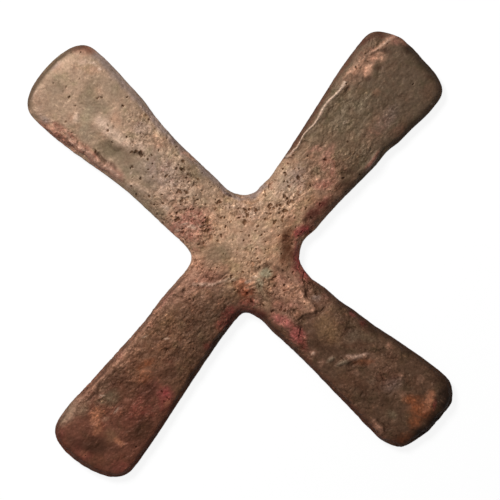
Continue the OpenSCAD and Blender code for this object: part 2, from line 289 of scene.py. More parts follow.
# Large pits: place and radius
PITS = (
    # Upper left arm
    (-85, 86.5, 0.4), (-81, 87.8, 0.4), (-83, 78.5, 0.56), (-84.5, 77, 0.48), (-79.8, 74.5, 0.4),
    (-68.5, 73.7, 0.64), (-66.8, 74.2, 0.48), (-72, 75.5, 0.48), (-75, 73.3, 0.4), (-83, 61.6, 0.64),
    (-80, 59.5, 0.48), (-61.5, 81, 0.4), (-63.7, 60.2, 0.56), (-60.8, 60.3, 0.56), (-63.8, 57.8, 0.72),
    (-57.5, 54.8, 0.4), (-46.8, 64.5, 0.64), (-50.8, 48.2, 0.9), (-48.9, 47.5, 1.1), (-52.6, 47.8, 0.8),
    (-47, 46.6, 0.6), (-52, 41.5, 0.72), (-37, 37.2, 0.84), (-42, 27, 0.6), (-30, 28.8, 0.96),
    (-27.6, 28.8, 0.84), (-28.3, 25.6, 0.72), (-32, 16.5, 1.08), (-28.5, 43.5, 0.84), (-25.5, 39.5, 0.6),
    (-26.3, 37, 0.72), (-21, 35.7, 0.72),
    # Crossing
    (1.2, 20.2, 0.85), (5.6, 21.1, 0.85), (2, 18.7, 0.99), (-0.5, 15, 0.99), (-1.6, 14.8, 0.55),
    (-5, 23.3, 0.55), (-11.5, 25, 0.99), (12, 22.8, 0.99), (12, 21.2, 0.77), (15.3, 22, 0.77),
    (17, 22.9, 0.77), (18.5, 20.3, 0.99), (10.3, 16.2, 0.77), (13.4, 15, 0.99), (17.2, 17, 0.77),
    (17.2, 15.6, 0.77), (-6.5, 14.6, 0.66), (-13.5, 11.5, 0.55), (-11, 11.2, 0.66), (-14.3, 14, 0.55),
    (-13.6, 21.8, 0.77), (2, 3, 0.55), (2.7, 1.6, 0.55), (15.3, -1.5, 0.55), (-10, -9.8, 0.55),
    (-20.8, 18.2, 0.66), (-24.7, 14.8, 0.66), (-28, 12.3, 0.55), (-19, 5.8, 0.66), (12.2, -14.4, 0.77),
    (17.4, -25, 0.88), (19.6, -25.5, 0.77), (12.4, -27.2, 0.77), (8.5, -24, 0.77), (6.7, -15.2, 0.77),
    (-0.4, -15.6, 0.77), (1.2, -18.2, 0.88), (4.6, -17, 0.77), (3.4, -22, 0.77), (-3, -17, 0.66),
    # Right and lower arms
    (20, 26.8, 0.7), (13.8, 35, 0.6), (25, 35.5, 0.9), (52, 87.5, 0.7), (58.2, 90, 0.6),
    (-27.2, -36.6, 0.6), (-30.5, -43.6, 0.6), (-67, -76.4, 0.5), (-38, -64.4, 0.7), (-35.6, -66.6, 0.7),
    (-37.6, -68.4, 0.6),
)

Trim = namedtuple("Trim", "name x y reach turn amount")
TRIMS = (
    Trim("waist on the upper right arm", 67, 48, 9, -47, -0.9),
    Trim("right side of the upper right end", 88, 67, 14, -42, 1.0),
    Trim("middle of the upper right end", 84, 91, 10, 42, -0.8),
    Trim("upper part of the upper right end", 73, 102, 7, 55, 0.5),
    Trim("upper side of the right notch", 28, 7, 8, -30, -1.3),
    Trim("lower side of the right notch", 28.5, -6, 8, 32, 2.0),
    Trim("upper root of the lower right arm", 38, -15, 14, 52, 1.4),
    Trim("upper side of the lower right arm", 50.5, -25.5, 14, 55, 0.8),
    Trim("right side of the upper notch", 6.5, 31, 8, 110, 1.2),
    Trim("right side of the lower notch", 8, -31.5, 9, 235, -1.0),
    Trim("lower corner of the lower right end", 64, -86, 9, 232, 1.0),
    Trim("lower side of the lower right end", 57, -80, 9, 222, 0.6),
    Trim("tip of the lower right end", 74, -90, 8, 267, 0.7),
    Trim("outer corner of the upper right end", 93, 77, 10, 0, 1.1),
    Trim("left side of the upper notch", -8, 30.5, 8, 52, -0.4),
    Trim("outer corner of the lower right end", 97, -70, 8, -20, 0.9),
    Trim("left root of the lower left arm", -38, -20, 18, 140, 0.9),
    Trim("left corner of the lower left end", -83, -70, 14, 140, 0.5),
    Trim("upper side of the upper left arm", -48, 73, 12, 40, 0.6),
)

# Broad ground colours, which blend into each other: colour, place, half-lengths along and across, turn in
# degrees
Ground = namedtuple("Ground", "color x y along across turn")
GROUNDS = (
    Ground("tan", -84, 80, 28, 24, 137),
    Ground("tan", -58, 60, 26, 18, 137),
    Ground("tan", -36, 36, 24, 18, 137),
    Ground("ochre", 3, 9, 22, 17, 0),
    Ground("clay", -20, -11, 12, 7, 45),
    Ground("ochre", 18, 26, 16, 12, 52),
    Ground("tan", 19, 35, 8, 9, 52),
    Ground("clay", 36, 40, 16, 9, 70),
    Ground("olive", 44, 58, 22, 13, 52),
    Ground("drab", 68, 74, 34, 24, 52),
    Ground("clay", 23, -17, 14, 11, -40),
    Ground("brown", 55, -50, 36, 22, -40),
    Ground("brown", 76, -70, 24, 24, -40),
    Ground("brown", -20, -33, 16, 12, 232),
    Ground("earth", -42, -46, 22, 16, 232),
    Ground("red_brown", -66, -84, 26, 22, 232),
)

# Soft patches over the ground: the same, and a strength
Stain = namedtuple("Stain", "color x y along across turn strength")
STAINS = (
    # Upper left arm
    Stain("clay", -75, 96, 7, 2.8, 0, 0.9),
    Stain("red_brown", -75, 97, 7, 2, 0, 0.4),
    Stain("olive", -94, 84.5, 3, 1.6, 60, 0.5),
    Stain("olive", -86, 92.3, 4, 1.6, 30, 0.55),
    Stain("lilac", -88.5, 88, 3.5, 1.8, 40, 0.45),
    Stain("lilac", -64.5, 88.5, 13, 3, -48, 0.7),
    Stain("sand", -75, 90.3, 4, 1.8, 10, 0.45),
    Stain("sand", -71, 89.3, 2.5, 1.2, -35, 0.7),
    Stain("sand", -67.7, 86.5, 1.3, 1, 0, 0.8),
    Stain("olive", -87, 83, 2.5, 2.5, 0, 0.3),
    Stain("olive", -86, 78.8, 3.5, 1.6, -55, 0.4),
    Stain("grey", -91.5, 75.5, 10, 7, 60, 0.55),
    Stain("clay", -95, 72, 8, 5, 70, 0.3),
    Stain("sand", -98, 75, 4.5, 1.6, 65, 0.3),
    Stain("sand", -97.5, 67.5, 4, 1.6, 30, 0.25),
    Stain("olive", -72, 78, 8, 4, 65, 0.55),
    Stain("grey", -70, 70, 8, 6, 0, 0.6),
    Stain("green", -74, 64, 8, 3.5, 70, 0.3),
    Stain("grey", -74, 57.5, 7, 5.5, 0, 0.7),
    Stain("grey", -60, 76, 10, 5, 137, 0.45),
    Stain("lilac", -93, 63.3, 5, 2, -25, 0.55),
    Stain("sand", -78.6, 64, 2, 2.6, 0, 0.6),
    Stain("pink", -83.5, 56, 10, 3, -38, 0.65),
    Stain("sand", -81.5, 53.8, 5, 1.3, -38, 0.4),
    Stain("olive", -99, 64.8, 2, 1, -30, 0.6),
    Stain("olive", -62, 48.5, 10, 5, -25, 0.9),
    Stain("olive", -66.5, 53, 4, 3, 0, 0.35),
    # Painted shadow below the pale ridge, at the edge of the hollow
    Stain("umber", -59.5, 49.8, 7, 1.8, -27, 0.3),
    Stain("grey", -50, 40, 12, 7, -25, 0.65),
    Stain("olive", -44, 32.5, 5, 3, 15, 0.7),
    Stain("umber", -50, 47.5, 3.6, 1.2, 8, 0.6),
    Stain("sand", -52.5, 38.4, 1.5, 0.5, 48, 0.7),
    Stain("lilac", -48, 59, 5, 4, 0, 0.35),
    Stain("lilac", -35, 56, 4, 1.3, -48, 0.6),
    Stain("copper", -26, 46.5, 5, 1.5, -40, 0.55),
    Stain("olive", -22.5, 38.5, 9, 6, -35, 0.58),
    Stain("sand", -37, 21.7, 3, 1.2, -45, 0.6),
    Stain("olive", -39, 18, 4, 2, -40, 0.5),
    Stain("clay", -33, 25, 10, 5, -30, 0.3),
    Stain("lilac", -38, 38, 14, 9, 137, 0.42),
    Stain("sand", -33, 30, 14, 10, 137, 0.2),
    # Crossing
    Stain("pink", -26, 13, 14, 10, 25, 0.7),
    Stain("rose", -24, 16, 10, 5, 10, 0.22),
    # Pale sand spots on the pink crust: rubbed places, partly painted highlights
    Stain("sand", -25, 12.5, 4, 1, 0, 0.7),
    Stain("sand", -28, 14.2, 2.5, 0.8, 10, 0.6),
    Stain("sand", -20, 13.6, 2.5, 0.7, -10, 0.6),
    Stain("sand", -31, 11, 2, 0.8, 20, 0.5),
    Stain("red_brown", -20, 6.5, 5, 4, 30, 0.45),
    Stain("red", -22.5, 1.8, 3, 1.4, 0, 0.45),
    Stain("copper", -23.8, -2.5, 2, 5, 0, 0.7),
    Stain("pink", -17, -12, 9, 4, 15, 0.3),
    Stain("clay", -19, -11, 9, 5.5, 35, 0.6),
    Stain("red_brown", -18, -12, 7, 4, 20, 0.45),
    Stain("olive", -12, 0, 8, 6, 20, 0.55),
    Stain("olive", -15, -5, 5, 3, 0, 0.4),
    Stain("umber", -10.5, -9.8, 5.5, 1.3, 25, 0.4),
    Stain("sand", -3, 22.5, 8, 2, 0, 0.5),
    Stain("sand", 3, 19.5, 10, 4.5, 0, 0.5),
    Stain("sand", 3, 8, 16, 12, 0, 0.22),
    Stain("sand", 6, 23.5, 4, 1.5, 10, 0.5),
    Stain("umber", -7, 28.4, 1.8, 0.9, 20, 0.6),
    Stain("copper", 22, 17.7, 6, 2, -5, 0.65),
    Stain("rust", 19.8, 5, 12, 4, 84, 0.8),
    Stain("umber", 20, 4, 12, 4, 84, 0.6),
    Stain("umber", 20.5, -3, 4, 2, 90, 0.5),
    Stain("crimson", 26.8, 10.5, 4.5, 3.6, 50, 0.9),
    Stain("crimson", 24.5, -2, 3, 7, 0, 0.55),
    Stain("crimson", 27.5, -9, 4, 3, -40, 0.55),
    Stain("red", 31, 18, 5, 3, 45, 0.7),
    Stain("umber", 28.3, 15.6, 3.2, 2.2, 45, 0.7),
    Stain("green", 9.7, -8.7, 3.6, 3, 0, 1.0),
    Stain("green", 7, -14, 2.2, 4.4, 10, 0.7),
    Stain("sand", 4.8, -9.7, 1.5, 0.8, 0, 0.6),
    Stain("olive", 8.5, -19, 3, 4, 0, 0.4),
    Stain("orange", -0.5, -13.8, 5, 2.6, 10, 0.95),
    # Pale sand spot on the orange crust: rubbed, partly a painted highlight
    Stain("sand", 2.2, -12, 2, 0.9, 30, 0.85),
    Stain("copper", -0.5, -13.3, 5, 2, 10, 0.7),
    Stain("rust", 1, -18, 5, 4.5, 0, 0.6),
    Stain("red", 0.5, -17.5, 5, 3.5, -40, 0.75),
    Stain("red", 2, -22, 6, 3, 0, 0.6),
    # Upper right arm
    Stain("sand", 26, 28.6, 0.8, 1.5, 0, 1.0),
    Stain("sand", 18, 28, 13, 10, 52, 0.33),
    Stain("olive", 18, 34, 5, 4, 0, 0.35),
    Stain("lilac", 24, 36.5, 8, 6, 52, 0.35),
    Stain("grey", 21, 33, 7, 5, 52, 0.25),
    Stain("pink", 36.5, 33, 5, 3, 0, 0.7),
    Stain("pink", 38.5, 45.5, 7, 3.5, 75, 0.6),
    Stain("pink", 41.5, 39, 6, 1.5, 95, 0.5),
    Stain("pink", 33, 48.8, 5, 1.6, 20, 0.5),
    Stain("pink", 38.5, 26.5, 3, 2.2, 40, 0.5),
    Stain("red", 36.5, 23, 5, 3, 45, 0.75),
    Stain("olive", 35, 39.5, 5, 2.8, 10, 0.6),
    # Painted shade on the lower side of the upper right root, partly dark red-brown patina
    Stain("umber", 48, 38.5, 6, 3, 25, 0.5),
    Stain("umber", 46, 32.5, 7, 3.5, 45, 0.6),
    Stain("umber", 39.5, 24.8, 7, 2.6, 45, 0.6),
    Stain("red_brown", 35, 21.5, 6, 3, 45, 0.5),
    Stain("umber", 31.5, 17.5, 5.5, 3, 45, 0.55),
    Stain("olive", 46, 48, 5, 5, 0, 0.28),
    Stain("olive", 34, 56, 6, 4, 52, 0.3),
    Stain("grey", 46, 62, 9, 5, 52, 0.4),
    Stain("grey", 54, 70, 7, 3, 55, 0.45),
    Stain("sand", 47.5, 62, 2, 0.8, 30, 0.4),
    # Pink on the crest of the bulge, partly a painted highlight on its lit edge
    Stain("pink", 59.8, 43.6, 6, 1.6, 57, 0.8),
    Stain("clay", 62, 59, 11, 6, 52, 0.3),
    Stain("lilac", 66, 63, 9, 4, 50, 0.3),
    Stain("red_brown", 72, 58, 6, 3, 40, 0.35),
    Stain("red_brown", 60, 57, 5, 4, 50, 0.15),
    Stain("orange", 62, 76, 2.5, 1.8, 50, 0.2),
    Stain("clay", 56, 89, 16, 5.5, 48, 0.6),
    Stain("copper", 57, 86.3, 3.4, 3.4, 0, 0.9),
    Stain("copper", 52, 87.5, 6, 2, 45, 0.55),
    Stain("copper", 62, 92, 5, 2.6, 10, 0.55),
    Stain("copper", 65, 98, 7, 2, 32, 0.75),
    Stain("sand", 65, 98, 6, 1.1, 32, 0.4),
    Stain("copper", 74, 99.6, 2.6, 1.2, -25, 0.7),
    Stain("pink", 72, 100.5, 7, 3, -10, 0.7),
    Stain("olive", 61, 99.5, 4, 1.8, 30, 0.5),
    Stain("umber", 63, 87.2, 4, 1.4, 20, 0.55),
    Stain("umber", 66.5, 94.8, 3, 1.2, 5, 0.55),
    Stain("umber", 61, 94.3, 2.4, 1, 30, 0.4),
    Stain("umber", 58, 82.6, 2, 1.2, 40, 0.6),
    Stain("umber", 77, 96, 2.5, 3, 0, 0.5),
    Stain("umber", 86, 83, 2.6, 1.8, 0, 0.5),
    Stain("sand", 88, 70.3, 0.9, 0.7, 0, 0.6),
    # Lower right arm
    Stain("pink", 17, -12, 4.5, 2.2, 0, 0.55),
    Stain("pink", 20, -24, 7, 2.6, -5, 0.6),
    Stain("copper", 21.5, -17, 8, 5, -40, 0.5),
    Stain("copper", 28.5, -22.5, 6, 3, -45, 0.55),
    Stain("copper", 31, -26.5, 3.5, 2, -20, 0.35),
    Stain("lilac", 33, -20.5, 3, 2.2, 0, 0.4),
    Stain("rose", 24.5, -37, 5.2, 4, -40, 1.0),
    Stain("rose", 18, -31, 6.5, 3.4, -20, 0.7),
    Stain("red", 26.5, -42, 5, 2.4, -45, 0.6),
    Stain("straw", 38.5, -34, 9, 6, -62, 0.85),
    Stain("umber", 30.5, -35.5, 4, 4, 0, 0.35),
    Stain("umber", 38, -43.5, 9, 3, -15, 0.35),
    Stain("umber", 48, -36, 6, 3, -10, 0.3),
    Stain("clay", 31.5, -46, 3, 2.4, 0, 0.7),
    Stain("sand", 31.5, -46, 1.2, 0.8, 30, 0.5),
    Stain("clay", 36, -50.5, 1.8, 2.4, 0, 0.5),
    Stain("grey", 40.8, -49.3, 3, 1.1, 25, 0.6),
    Stain("grey", 45.7, -51, 3.6, 1.1, 32, 0.7),
    Stain("clay", 53.3, -47.7, 6, 1.7, 3, 0.9),
    Stain("lilac", 53, -47.2, 5, 1.2, 3, 0.6),
    Stain("sand", 53, -47.2, 4.5, 1, 3, 0.35),
    Stain("rust", 55, -50, 6, 1.6, 0, 0.5),
    Stain("clay", 51.5, -55.5, 2.4, 1.5, 10, 0.4),
    Stain("rose", 51, -28.5, 2.6, 1.4, -40, 0.7),
    Stain("red", 55.5, -32, 3, 2, -40, 0.5),
    Stain("pink", 38, -20, 2.5, 1.3, -30, 0.4),
    Stain("red_brown", 66, -58, 8, 7, 0, 0.25),
    Stain("clay", 61, -51, 8, 5, -30, 0.25),
    Stain("lilac", 69, -61, 6, 4, 20, 0.25),
    Stain("olive", 57, -38.5, 6, 2.5, -20, 0.4),
    Stain("clay", 67.5, -43, 2, 2.6, 0, 0.4),
    Stain("grey", 50, -38.5, 5, 3, 30, 0.4),
    Stain("umber", 56, -64, 3, 5, 20, 0.35),
    Stain("grey", 60, -58, 4, 2.5, 20, 0.2),
    Stain("umber", 66, -68, 6, 3, 40, 0.35),
    Stain("clay", 74, -65, 3, 2, 30, 0.35),
    Stain("clay", 72.5, -56, 1.5, 1.1, 0, 0.7),
    Stain("clay", 82, -58.5, 3, 1.6, 40, 0.35),
    Stain("olive", 68.5, -74.5, 3, 2.4, -60, 0.6),
    Stain("clay", 62.8, -81.3, 4.6, 1.7, -57, 0.9),
    Stain("rust", 79, -68, 6, 3.2, -10, 0.75),
    Stain("rust", 82, -72.5, 7, 6, 0, 0.8),
    Stain("rust", 80, -78, 4.5, 3.5, 60, 0.8),
    Stain("rust", 75.5, -85.5, 5, 3.4, 20, 0.55),
    Stain("orange", 86.3, -67.5, 4, 2.8, 70, 0.85),
    Stain("orange", 85.3, -72.2, 2.6, 1.3, 30, 0.8),
    Stain("red", 89, -70, 3.5, 1.2, 80, 0.7),
    # Painted shade on the lower right end, which faces away from the lamp
    Stain("black", 93.5, -66.5, 4.5, 7, 0, 0.7),
    Stain("black", 89.5, -77.5, 5, 3, 45, 0.7),
    Stain("black", 82.5, -84, 5, 2.4, 40, 0.6),
    # Lower left arm
    Stain("pink", -36.5, -21, 5, 1.8, 45, 0.7),
    Stain("umber", -50, -50, 9, 4.5, 50, 0.28),
    Stain("umber", -57, -62, 7, 4, 40, 0.3),
    Stain("orange", -36, -69, 2.6, 2, 60, 0.5),
    Stain("red_brown", -39, -57, 8, 5, 50, 0.4),
    Stain("umber", -25.5, -51, 7, 3.5, 52, 0.45),
    Stain("pink", -58.5, -47, 4, 1.5, 45, 0.6),
    Stain("straw", -46, -37.5, 6, 3, 35, 0.65),
    Stain("straw", -36, -30, 8, 5, 50, 0.35),
    Stain("sand", -46, -38.3, 1.6, 0.6, 15, 0.6),
    Stain("sand", -36.5, -39.2, 1.6, 0.5, 10, 0.5),
    Stain("umber", -25, -29, 8, 4, 20, 0.12),
    Stain("umber", -30, -47, 8, 4, 15, 0.4),
    Stain("umber", -26, -56, 7, 4, 55, 0.45),
    Stain("rust", -46, -51.5, 7, 3, 20, 0.5),
    Stain("rust", -47.5, -57.5, 5, 3, 0, 0.55),
    Stain("orange", -46.5, -55, 4, 0.8, 0, 0.6),
    Stain("red", -45, -64, 7, 6, 60, 0.55),
    Stain("umber", -45.5, -63.5, 6, 5, 70, 0.7),
    Stain("umber", -48.5, -82, 8, 5.5, 50, 0.72),
    Stain("umber", -61.5, -60, 8, 5, 50, 0.62),
    Stain("umber", -69, -87.5, 8, 4.5, -10, 0.65),
    Stain("umber", -34, -55.5, 5, 5, 0, 0.5),
    Stain("umber", -79.5, -88, 5, 3, -45, 0.45),
    Stain("red", -75, -94, 4, 2.4, 20, 0.5),
    Stain("red", -58, -99, 6, 4, 0, 0.35),
    Stain("red_brown", -36, -52, 5, 6, 0, 0.3),
    Stain("crimson", -37, -65, 4.4, 3.4, 20, 0.4),
    Stain("rose", -37.5, -64.5, 3.5, 3, 0, 0.3),
    Stain("red", -36.3, -67.5, 6.5, 4.5, 75, 0.75),
    Stain("red", -47, -71, 11, 7, 45, 0.38),
    Stain("red", -16.5, -42.5, 4, 3, 50, 0.45),
    Stain("red", -6.5, -27, 6, 3.2, 45, 0.75),
    Stain("olive", -66.5, -61, 5, 3.5, 45, 0.5),
    Stain("olive", -63, -67, 7, 4, 25, 0.7),
    Stain("olive", -75.5, -71.5, 5, 4, 45, 0.6),
    Stain("sand", -66.3, -65.7, 2.2, 0.7, -12, 0.45),
    Stain("sand", -60, -72.5, 2.4, 0.6, 50, 0.3),
    Stain("clay", -65, -77, 2.2, 1.4, 30, 0.6),
    Stain("grey", -81, -73.5, 9, 3.2, 50, 0.75),
    Stain("green", -82.5, -74.5, 6, 2, 50, 0.5),
    Stain("orange", -69.8, -76.5, 5.5, 2.8, 88, 0.75),
    Stain("orange", -69, -82.5, 3, 2.4, 0, 0.6),
    Stain("orange", -58.5, -88, 3.2, 1.5, -25, 0.85),
    Stain("pink", -56, -88.7, 1.5, 0.8, 0, 0.6),
    Stain("straw", -62, -85, 4, 4, 0, 0.4),
    Stain("umber", -70, -89.5, 11, 4, -5, 0.75),
    Stain("umber", -51, -83, 4, 5, 0, 0.35),
    Stain("umber", -45, -68.5, 1.8, 2.2, 0, 0.4),
    Stain("red", -77, -90.5, 5, 4.5, 0, 0.3),
    Stain("orange", -75, -93.3, 2.6, 1.8, 40, 0.35),
    Stain("red", -86, -84, 3, 3.5, 0, 0.3),
)

# Sides of the casting, as seen from above
UPPER_LEFT_END = ((-101.5, 70), (-100, 77), (-95, 85), (-88.5, 91.5), (-82, 95.5), (-76, 98))
UPPER_LEFT_ABOVE = ((-72, 98), (-58, 82.5), (-39.5, 61), (-24, 45), (-10, 32.5))
UPPER_LEFT_BELOW = ((-100.5, 66), (-97, 62), (-88, 55), (-78, 48), (-66, 39.5), (-52, 29.5), (-40, 19),
                    (-29, 7))
TOP_NOTCH = ((-11, 32.5), (-6, 28.3), (-1, 26.5), (4, 27.6), (9, 32))
UPPER_RIGHT_LEFT = ((19.5, 47), (26, 57.5), (35, 72.5), (44.5, 89), (52.5, 98.5), (58, 102.5), (64, 104))
UPPER_RIGHT_END = ((75, 101), (82, 93.5), (88, 87), (92, 81), (92.8, 75.5))
UPPER_RIGHT_RIGHT = ((33, 15), (42, 22), (50, 30.5), (57, 37), (63, 45), (70, 51.5), (80, 60.5), (90, 70.5),
                     (92.8, 75.5))
RIGHT_NOTCH = ((36, 22), (28.5, 12), (25.8, 5), (25.3, -1), (27, -7), (29.5, -11))
LOWER_RIGHT_ABOVE = ((32, -14), (40, -19.2), (50, -26), (60, -33.5), (72, -40.5), (84, -48), (94, -57))
LOWER_RIGHT_END = ((94, -57), (97.5, -63), (97.5, -68), (93, -74.5), (86, -81.5), (79, -87.5), (73, -90))
LOWER_RIGHT_BELOW = ((8, -30), (20, -41.5), (32, -54), (45, -66.5), (58, -80), (66, -87), (73, -90))
BOTTOM_NOTCH = ((-9.5, -33), (-5, -28), (0, -26.5), (5, -28))
LOWER_LEFT_RIGHT = ((8, -30), (3, -27.3), (-1, -27.3), (-5, -30), (-12, -40), (-19, -51), (-27, -63),
                    (-35, -76), (-44, -90), (-51, -100))
LOWER_LEFT_END = ((-51, -100), (-56, -104), (-63, -104), (-72, -100.5), (-80, -95), (-86, -88.5), (-88, -83))
LOWER_LEFT_LEFT = ((-88, -81), (-82, -71.5), (-70, -58.5), (-58, -45.5), (-46, -31.5), (-36, -19),
                   (-27, -9.5))

# Patina, painted shade and painted highlights that follow a side, a lip or a crease: colour, path,
# half-width, strength
Streak = namedtuple("Streak", "color path half_width strength")
STREAKS = (
    Streak("olive", UPPER_LEFT_END, 2.2, 0.5),
    Streak("lilac", UPPER_LEFT_ABOVE, 2.0, 0.75),
    Streak("grey", UPPER_LEFT_BELOW[4:7], 2.4, 0.5),
    Streak("red", ((-95, 60), (-88.5, 56), (-80, 50.5), (-71, 43), (-66, 39.8)), 0.9, 0.2),
    Streak("pink", LIP_PATHS["rolled edge of the upper left arm"], 2.4, 0.75),
    Streak("sand", LIP_PATHS["rolled edge of the upper left arm"][2:], 0.8, 0.4),
    Streak("sand", LIP_PATHS["pale ridge on the upper left arm"], 2.6, 0.7),
    Streak("sand", LIP_PATHS["short ridge on the upper left arm"], 1.2, 0.4),
    Streak("lilac", TOP_NOTCH, 1.5, 0.75),
    Streak("red_brown", UPPER_RIGHT_LEFT, 2.0, 0.65),
    Streak("sand", LIP_PATHS["fold on the upper right arm"], 0.5, 0.95),
    Streak("red", RIGHT_NOTCH, 3.4, 0.65),
    Streak("red_brown", LOWER_RIGHT_BELOW, 2.4, 0.5),
    Streak("red", BOTTOM_NOTCH, 3.0, 0.6),
    Streak("sand", LIP_PATHS["ridge below the crossing"], 0.8, 0.4),
    # Pale clay on the shoulder of the lower left arm: partly a painted highlight on the bevel that faces the
    # lamp
    Streak("clay", LIP_PATHS["shoulder of the lower left arm"], 3.2, 0.65),
    # Darkened margins: dark patina on the upper left end and the left sides, painted shade on the right and
    # lower margins that face away from the lamp
    Streak("grime_and_shade", UPPER_LEFT_END, 1.8, 0.62),
    Streak("grime_and_shade", UPPER_LEFT_BELOW[1:5], 0.4, 0.3),
    Streak("grime_and_shade", UPPER_RIGHT_LEFT, 1.6, 0.45),
    Streak("grime_and_shade", UPPER_RIGHT_END, 3.0, 0.7),
    Streak("grime_and_shade", UPPER_RIGHT_RIGHT[:4], 2.4, 0.6),
    Streak("grime_and_shade", UPPER_RIGHT_RIGHT[3:6], 0.8, 0.4),
    Streak("grime_and_shade", UPPER_RIGHT_RIGHT[5:], 2.0, 0.65),
    Streak("grime_and_shade", LOWER_RIGHT_ABOVE, 2.4, 0.65),
    Streak("grime_and_shade", LOWER_RIGHT_END, 4.5, 0.8),
    Streak("grime_and_shade", LOWER_RIGHT_BELOW, 1.2, 0.55),
    Streak("grime_and_shade", LOWER_LEFT_RIGHT, 1.8, 0.7),
    Streak("grime_and_shade", LOWER_LEFT_END, 1.6, 0.5),
    Streak("grime_and_shade", LOWER_LEFT_LEFT, 0.7, 0.55),
    # Creases painted umber along their paths: dark film in them, and painted shade at the feet of lips, laps,
    # ridges and flakes
    *(Streak("umber", crease.path, crease.half_width, crease.depth) for crease in CREASES),
)

# Colours of the stains, in the order in which they are laid
STAIN_COLORS = ("grey", "olive", "straw", "green", "lilac", "clay", "pink", "copper", "red_brown", "rose",
                "red", "crimson", "rust", "orange", "sand", "umber", "black")

# How coarse and how flaky the skin is, and what share of the gas pits is kept: place, half-lengths, turn and
# value
Field = namedtuple("Field", "x y along across turn value")
COARSE_ELSEWHERE = 0.45
COARSE = (
    Field(2, 4, 18, 11, 0, 0.5),
    Field(2, 21, 18, 7, 0, 0.85),
    Field(-24, 13, 12, 9, 10, 0.75),
    Field(2, -17, 14, 8, 0, 1.0),
    Field(22, 4, 7, 12, 0, 0.9),
    Field(-30, 26, 14, 12, 137, 0.85),
    Field(-47, 58, 9, 7, 137, 0.75),
    Field(-84, 80, 24, 20, 137, 0.1),
    Field(-68, 66, 14, 10, 137, 0.2),
    Field(-58, 44, 14, 6, -30, 0.08),
    Field(-79, 51, 18, 3.2, -37, 1.0),
    Field(30, 34, 18, 12, 52, 0.9),
    Field(48, 58, 20, 12, 52, 0.8),
    Field(66, 70, 14, 14, 52, 0.4),
    Field(81, 86, 16, 15, 52, 0.2),
    Field(57, 91, 12, 5, 48, 0.65),
    Field(24, -18, 12, 10, -40, 0.9),
    Field(29, -22, 5, 3, -50, 0.2),
    Field(24, -38, 10, 4, -42, 0.8),
    Field(45, -42, 14, 10, -40, 0.5),
    Field(72, -62, 26, 20, -40, 0.6),
    Field(-30, -34, 26, 16, 232, 0.9),
    Field(-56, -62, 20, 14, 232, 0.8),
    Field(-70, -86, 18, 14, 232, 0.3),
)
FLAKY_ELSEWHERE = 0.4
FLAKY = (
    Field(-70, 68, 44, 26, 137, 0.3),
    Field(0, 10, 34, 24, 0, 0.15),
    Field(62, -56, 46, 26, -40, 1.0),
    Field(48, 60, 24, 18, 52, 0.7),
    Field(78, 84, 24, 20, 52, 0.15),
)
PITTED_ELSEWHERE = 0.02
PITTED = (
    Field(2, 18, 22, 10, 0, 0.44),
    Field(4, -2, 26, 12, 0, 0.25),
    Field(-32, 28, 16, 12, 137, 0.38),
    Field(-48, 57, 10, 8, 137, 0.36),
    Field(-84, 78, 30, 24, 137, 0.03),
    Field(20, 27, 18, 12, 52, 0.24),
    Field(24, -18, 12, 10, -40, 0.25),
    Field(60, -55, 44, 26, -40, 0),
    Field(-56, -64, 40, 24, 232, 0),
)

# Shares that the back takes of the stains and of the pits, how rough the sides are, and what the back has
# more
BACK_STAINS = 0.5
BACK_PITS = 0.25
SIDE_ROUGH = 0.3
BACK_ROUGH = 0.1

# Directions of the two runs of the arms, in degrees
RISING_RUN = 45
FALLING_RUN = 137

# How marks blend: weight of the value elsewhere, how fast fields and grounds fall off, and the weight of
# brown where no ground reaches
ELSEWHERE_WEIGHT = 0.15
FIELD_FALL = 1.5
GROUND_FALL = 1.2
LEAST_WEIGHT = 1e-9

# How far forms and streaks reach out, in their own half-widths, and how deep a crevice round a boss is, in mm
FORM_REACH = 1.6
STREAK_REACH = 1.9
CREVICE_DEPTH = 0.12

# A lap rises over this many mm on its upper side, and sinks by this share of its height on the other
LAP_STEP = 1.3
LAP_FOOT = 0.6


# Fields over the skin's points

def smooth(low, high, value):
    """0 below low, 1 above high, and an even rise between."""
    share = np.clip((value - low) / (high - low), 0, 1)
    return share * share * (3 - 2 * share)


def oval(x, y, mark):
    """Distance from a mark in units of its own half-lengths: 1 on the edge of its oval."""
    cosine = math.cos(math.radians(mark.turn))
    sine = math.sin(math.radians(mark.turn))
    u = (x - mark.x) * cosine + (y - mark.y) * sine
    v = (y - mark.y) * cosine - (x - mark.x) * sine
    return np.hypot(u / mark.along, v / mark.across)


def path_distance(x, y, path, reach):
    """The points within reach of a path: numbers, distance, side (+1 to the left) and share of the way."""
    corners = np.array(path)
    low = corners.min(axis=0) - reach
    high = corners.max(axis=0) + reach
    points = np.nonzero((x > low[0]) & (x < high[0]) & (y > low[1]) & (y < high[1]))[0]
    nearest = np.full(len(points), np.inf)
    side = np.zeros(len(points))
    share = np.zeros(len(points))
    pieces = len(corners) - 1
    for k in range(pieces):
        run = corners[k + 1] - corners[k]
        u = x[points] - corners[k][0]
        v = y[points] - corners[k][1]
        t = np.clip((u * run[0] + v * run[1]) / (run @ run), 0, 1)
        away = np.hypot(u - t * run[0], v - t * run[1])
        closer = away < nearest
        nearest[closer] = away[closer]
        side[closer] = np.sign(run[0] * v - run[1] * u)[closer]
        share[closer] = ((k + t) / pieces)[closer]
    return points, nearest, side, share


def wobbled(x, y):
    """Places shifted by about a millimetre at most, so that no placed form has a ruled edge."""
    def shift(u, v):
        return 0.45 * np.sin(u / 2.9 + 1.7 * np.sin(v / 4.3)) + 0.3 * np.sin(u / 1.3 - v / 1.9)
    return x + shift(y, x), y + shift(x + 40, y)


def field_value(x, y, fields, elsewhere):
    """A value that blends from field to field, and to its value elsewhere."""
    total = np.full(len(x), ELSEWHERE_WEIGHT)
    value = np.full(len(x), ELSEWHERE_WEIGHT * elsewhere)
    for field in fields:
        weight = np.exp(-FIELD_FALL * oval(x, y, field) ** 2)
        total += weight
        value += weight * field.value
    return value / total


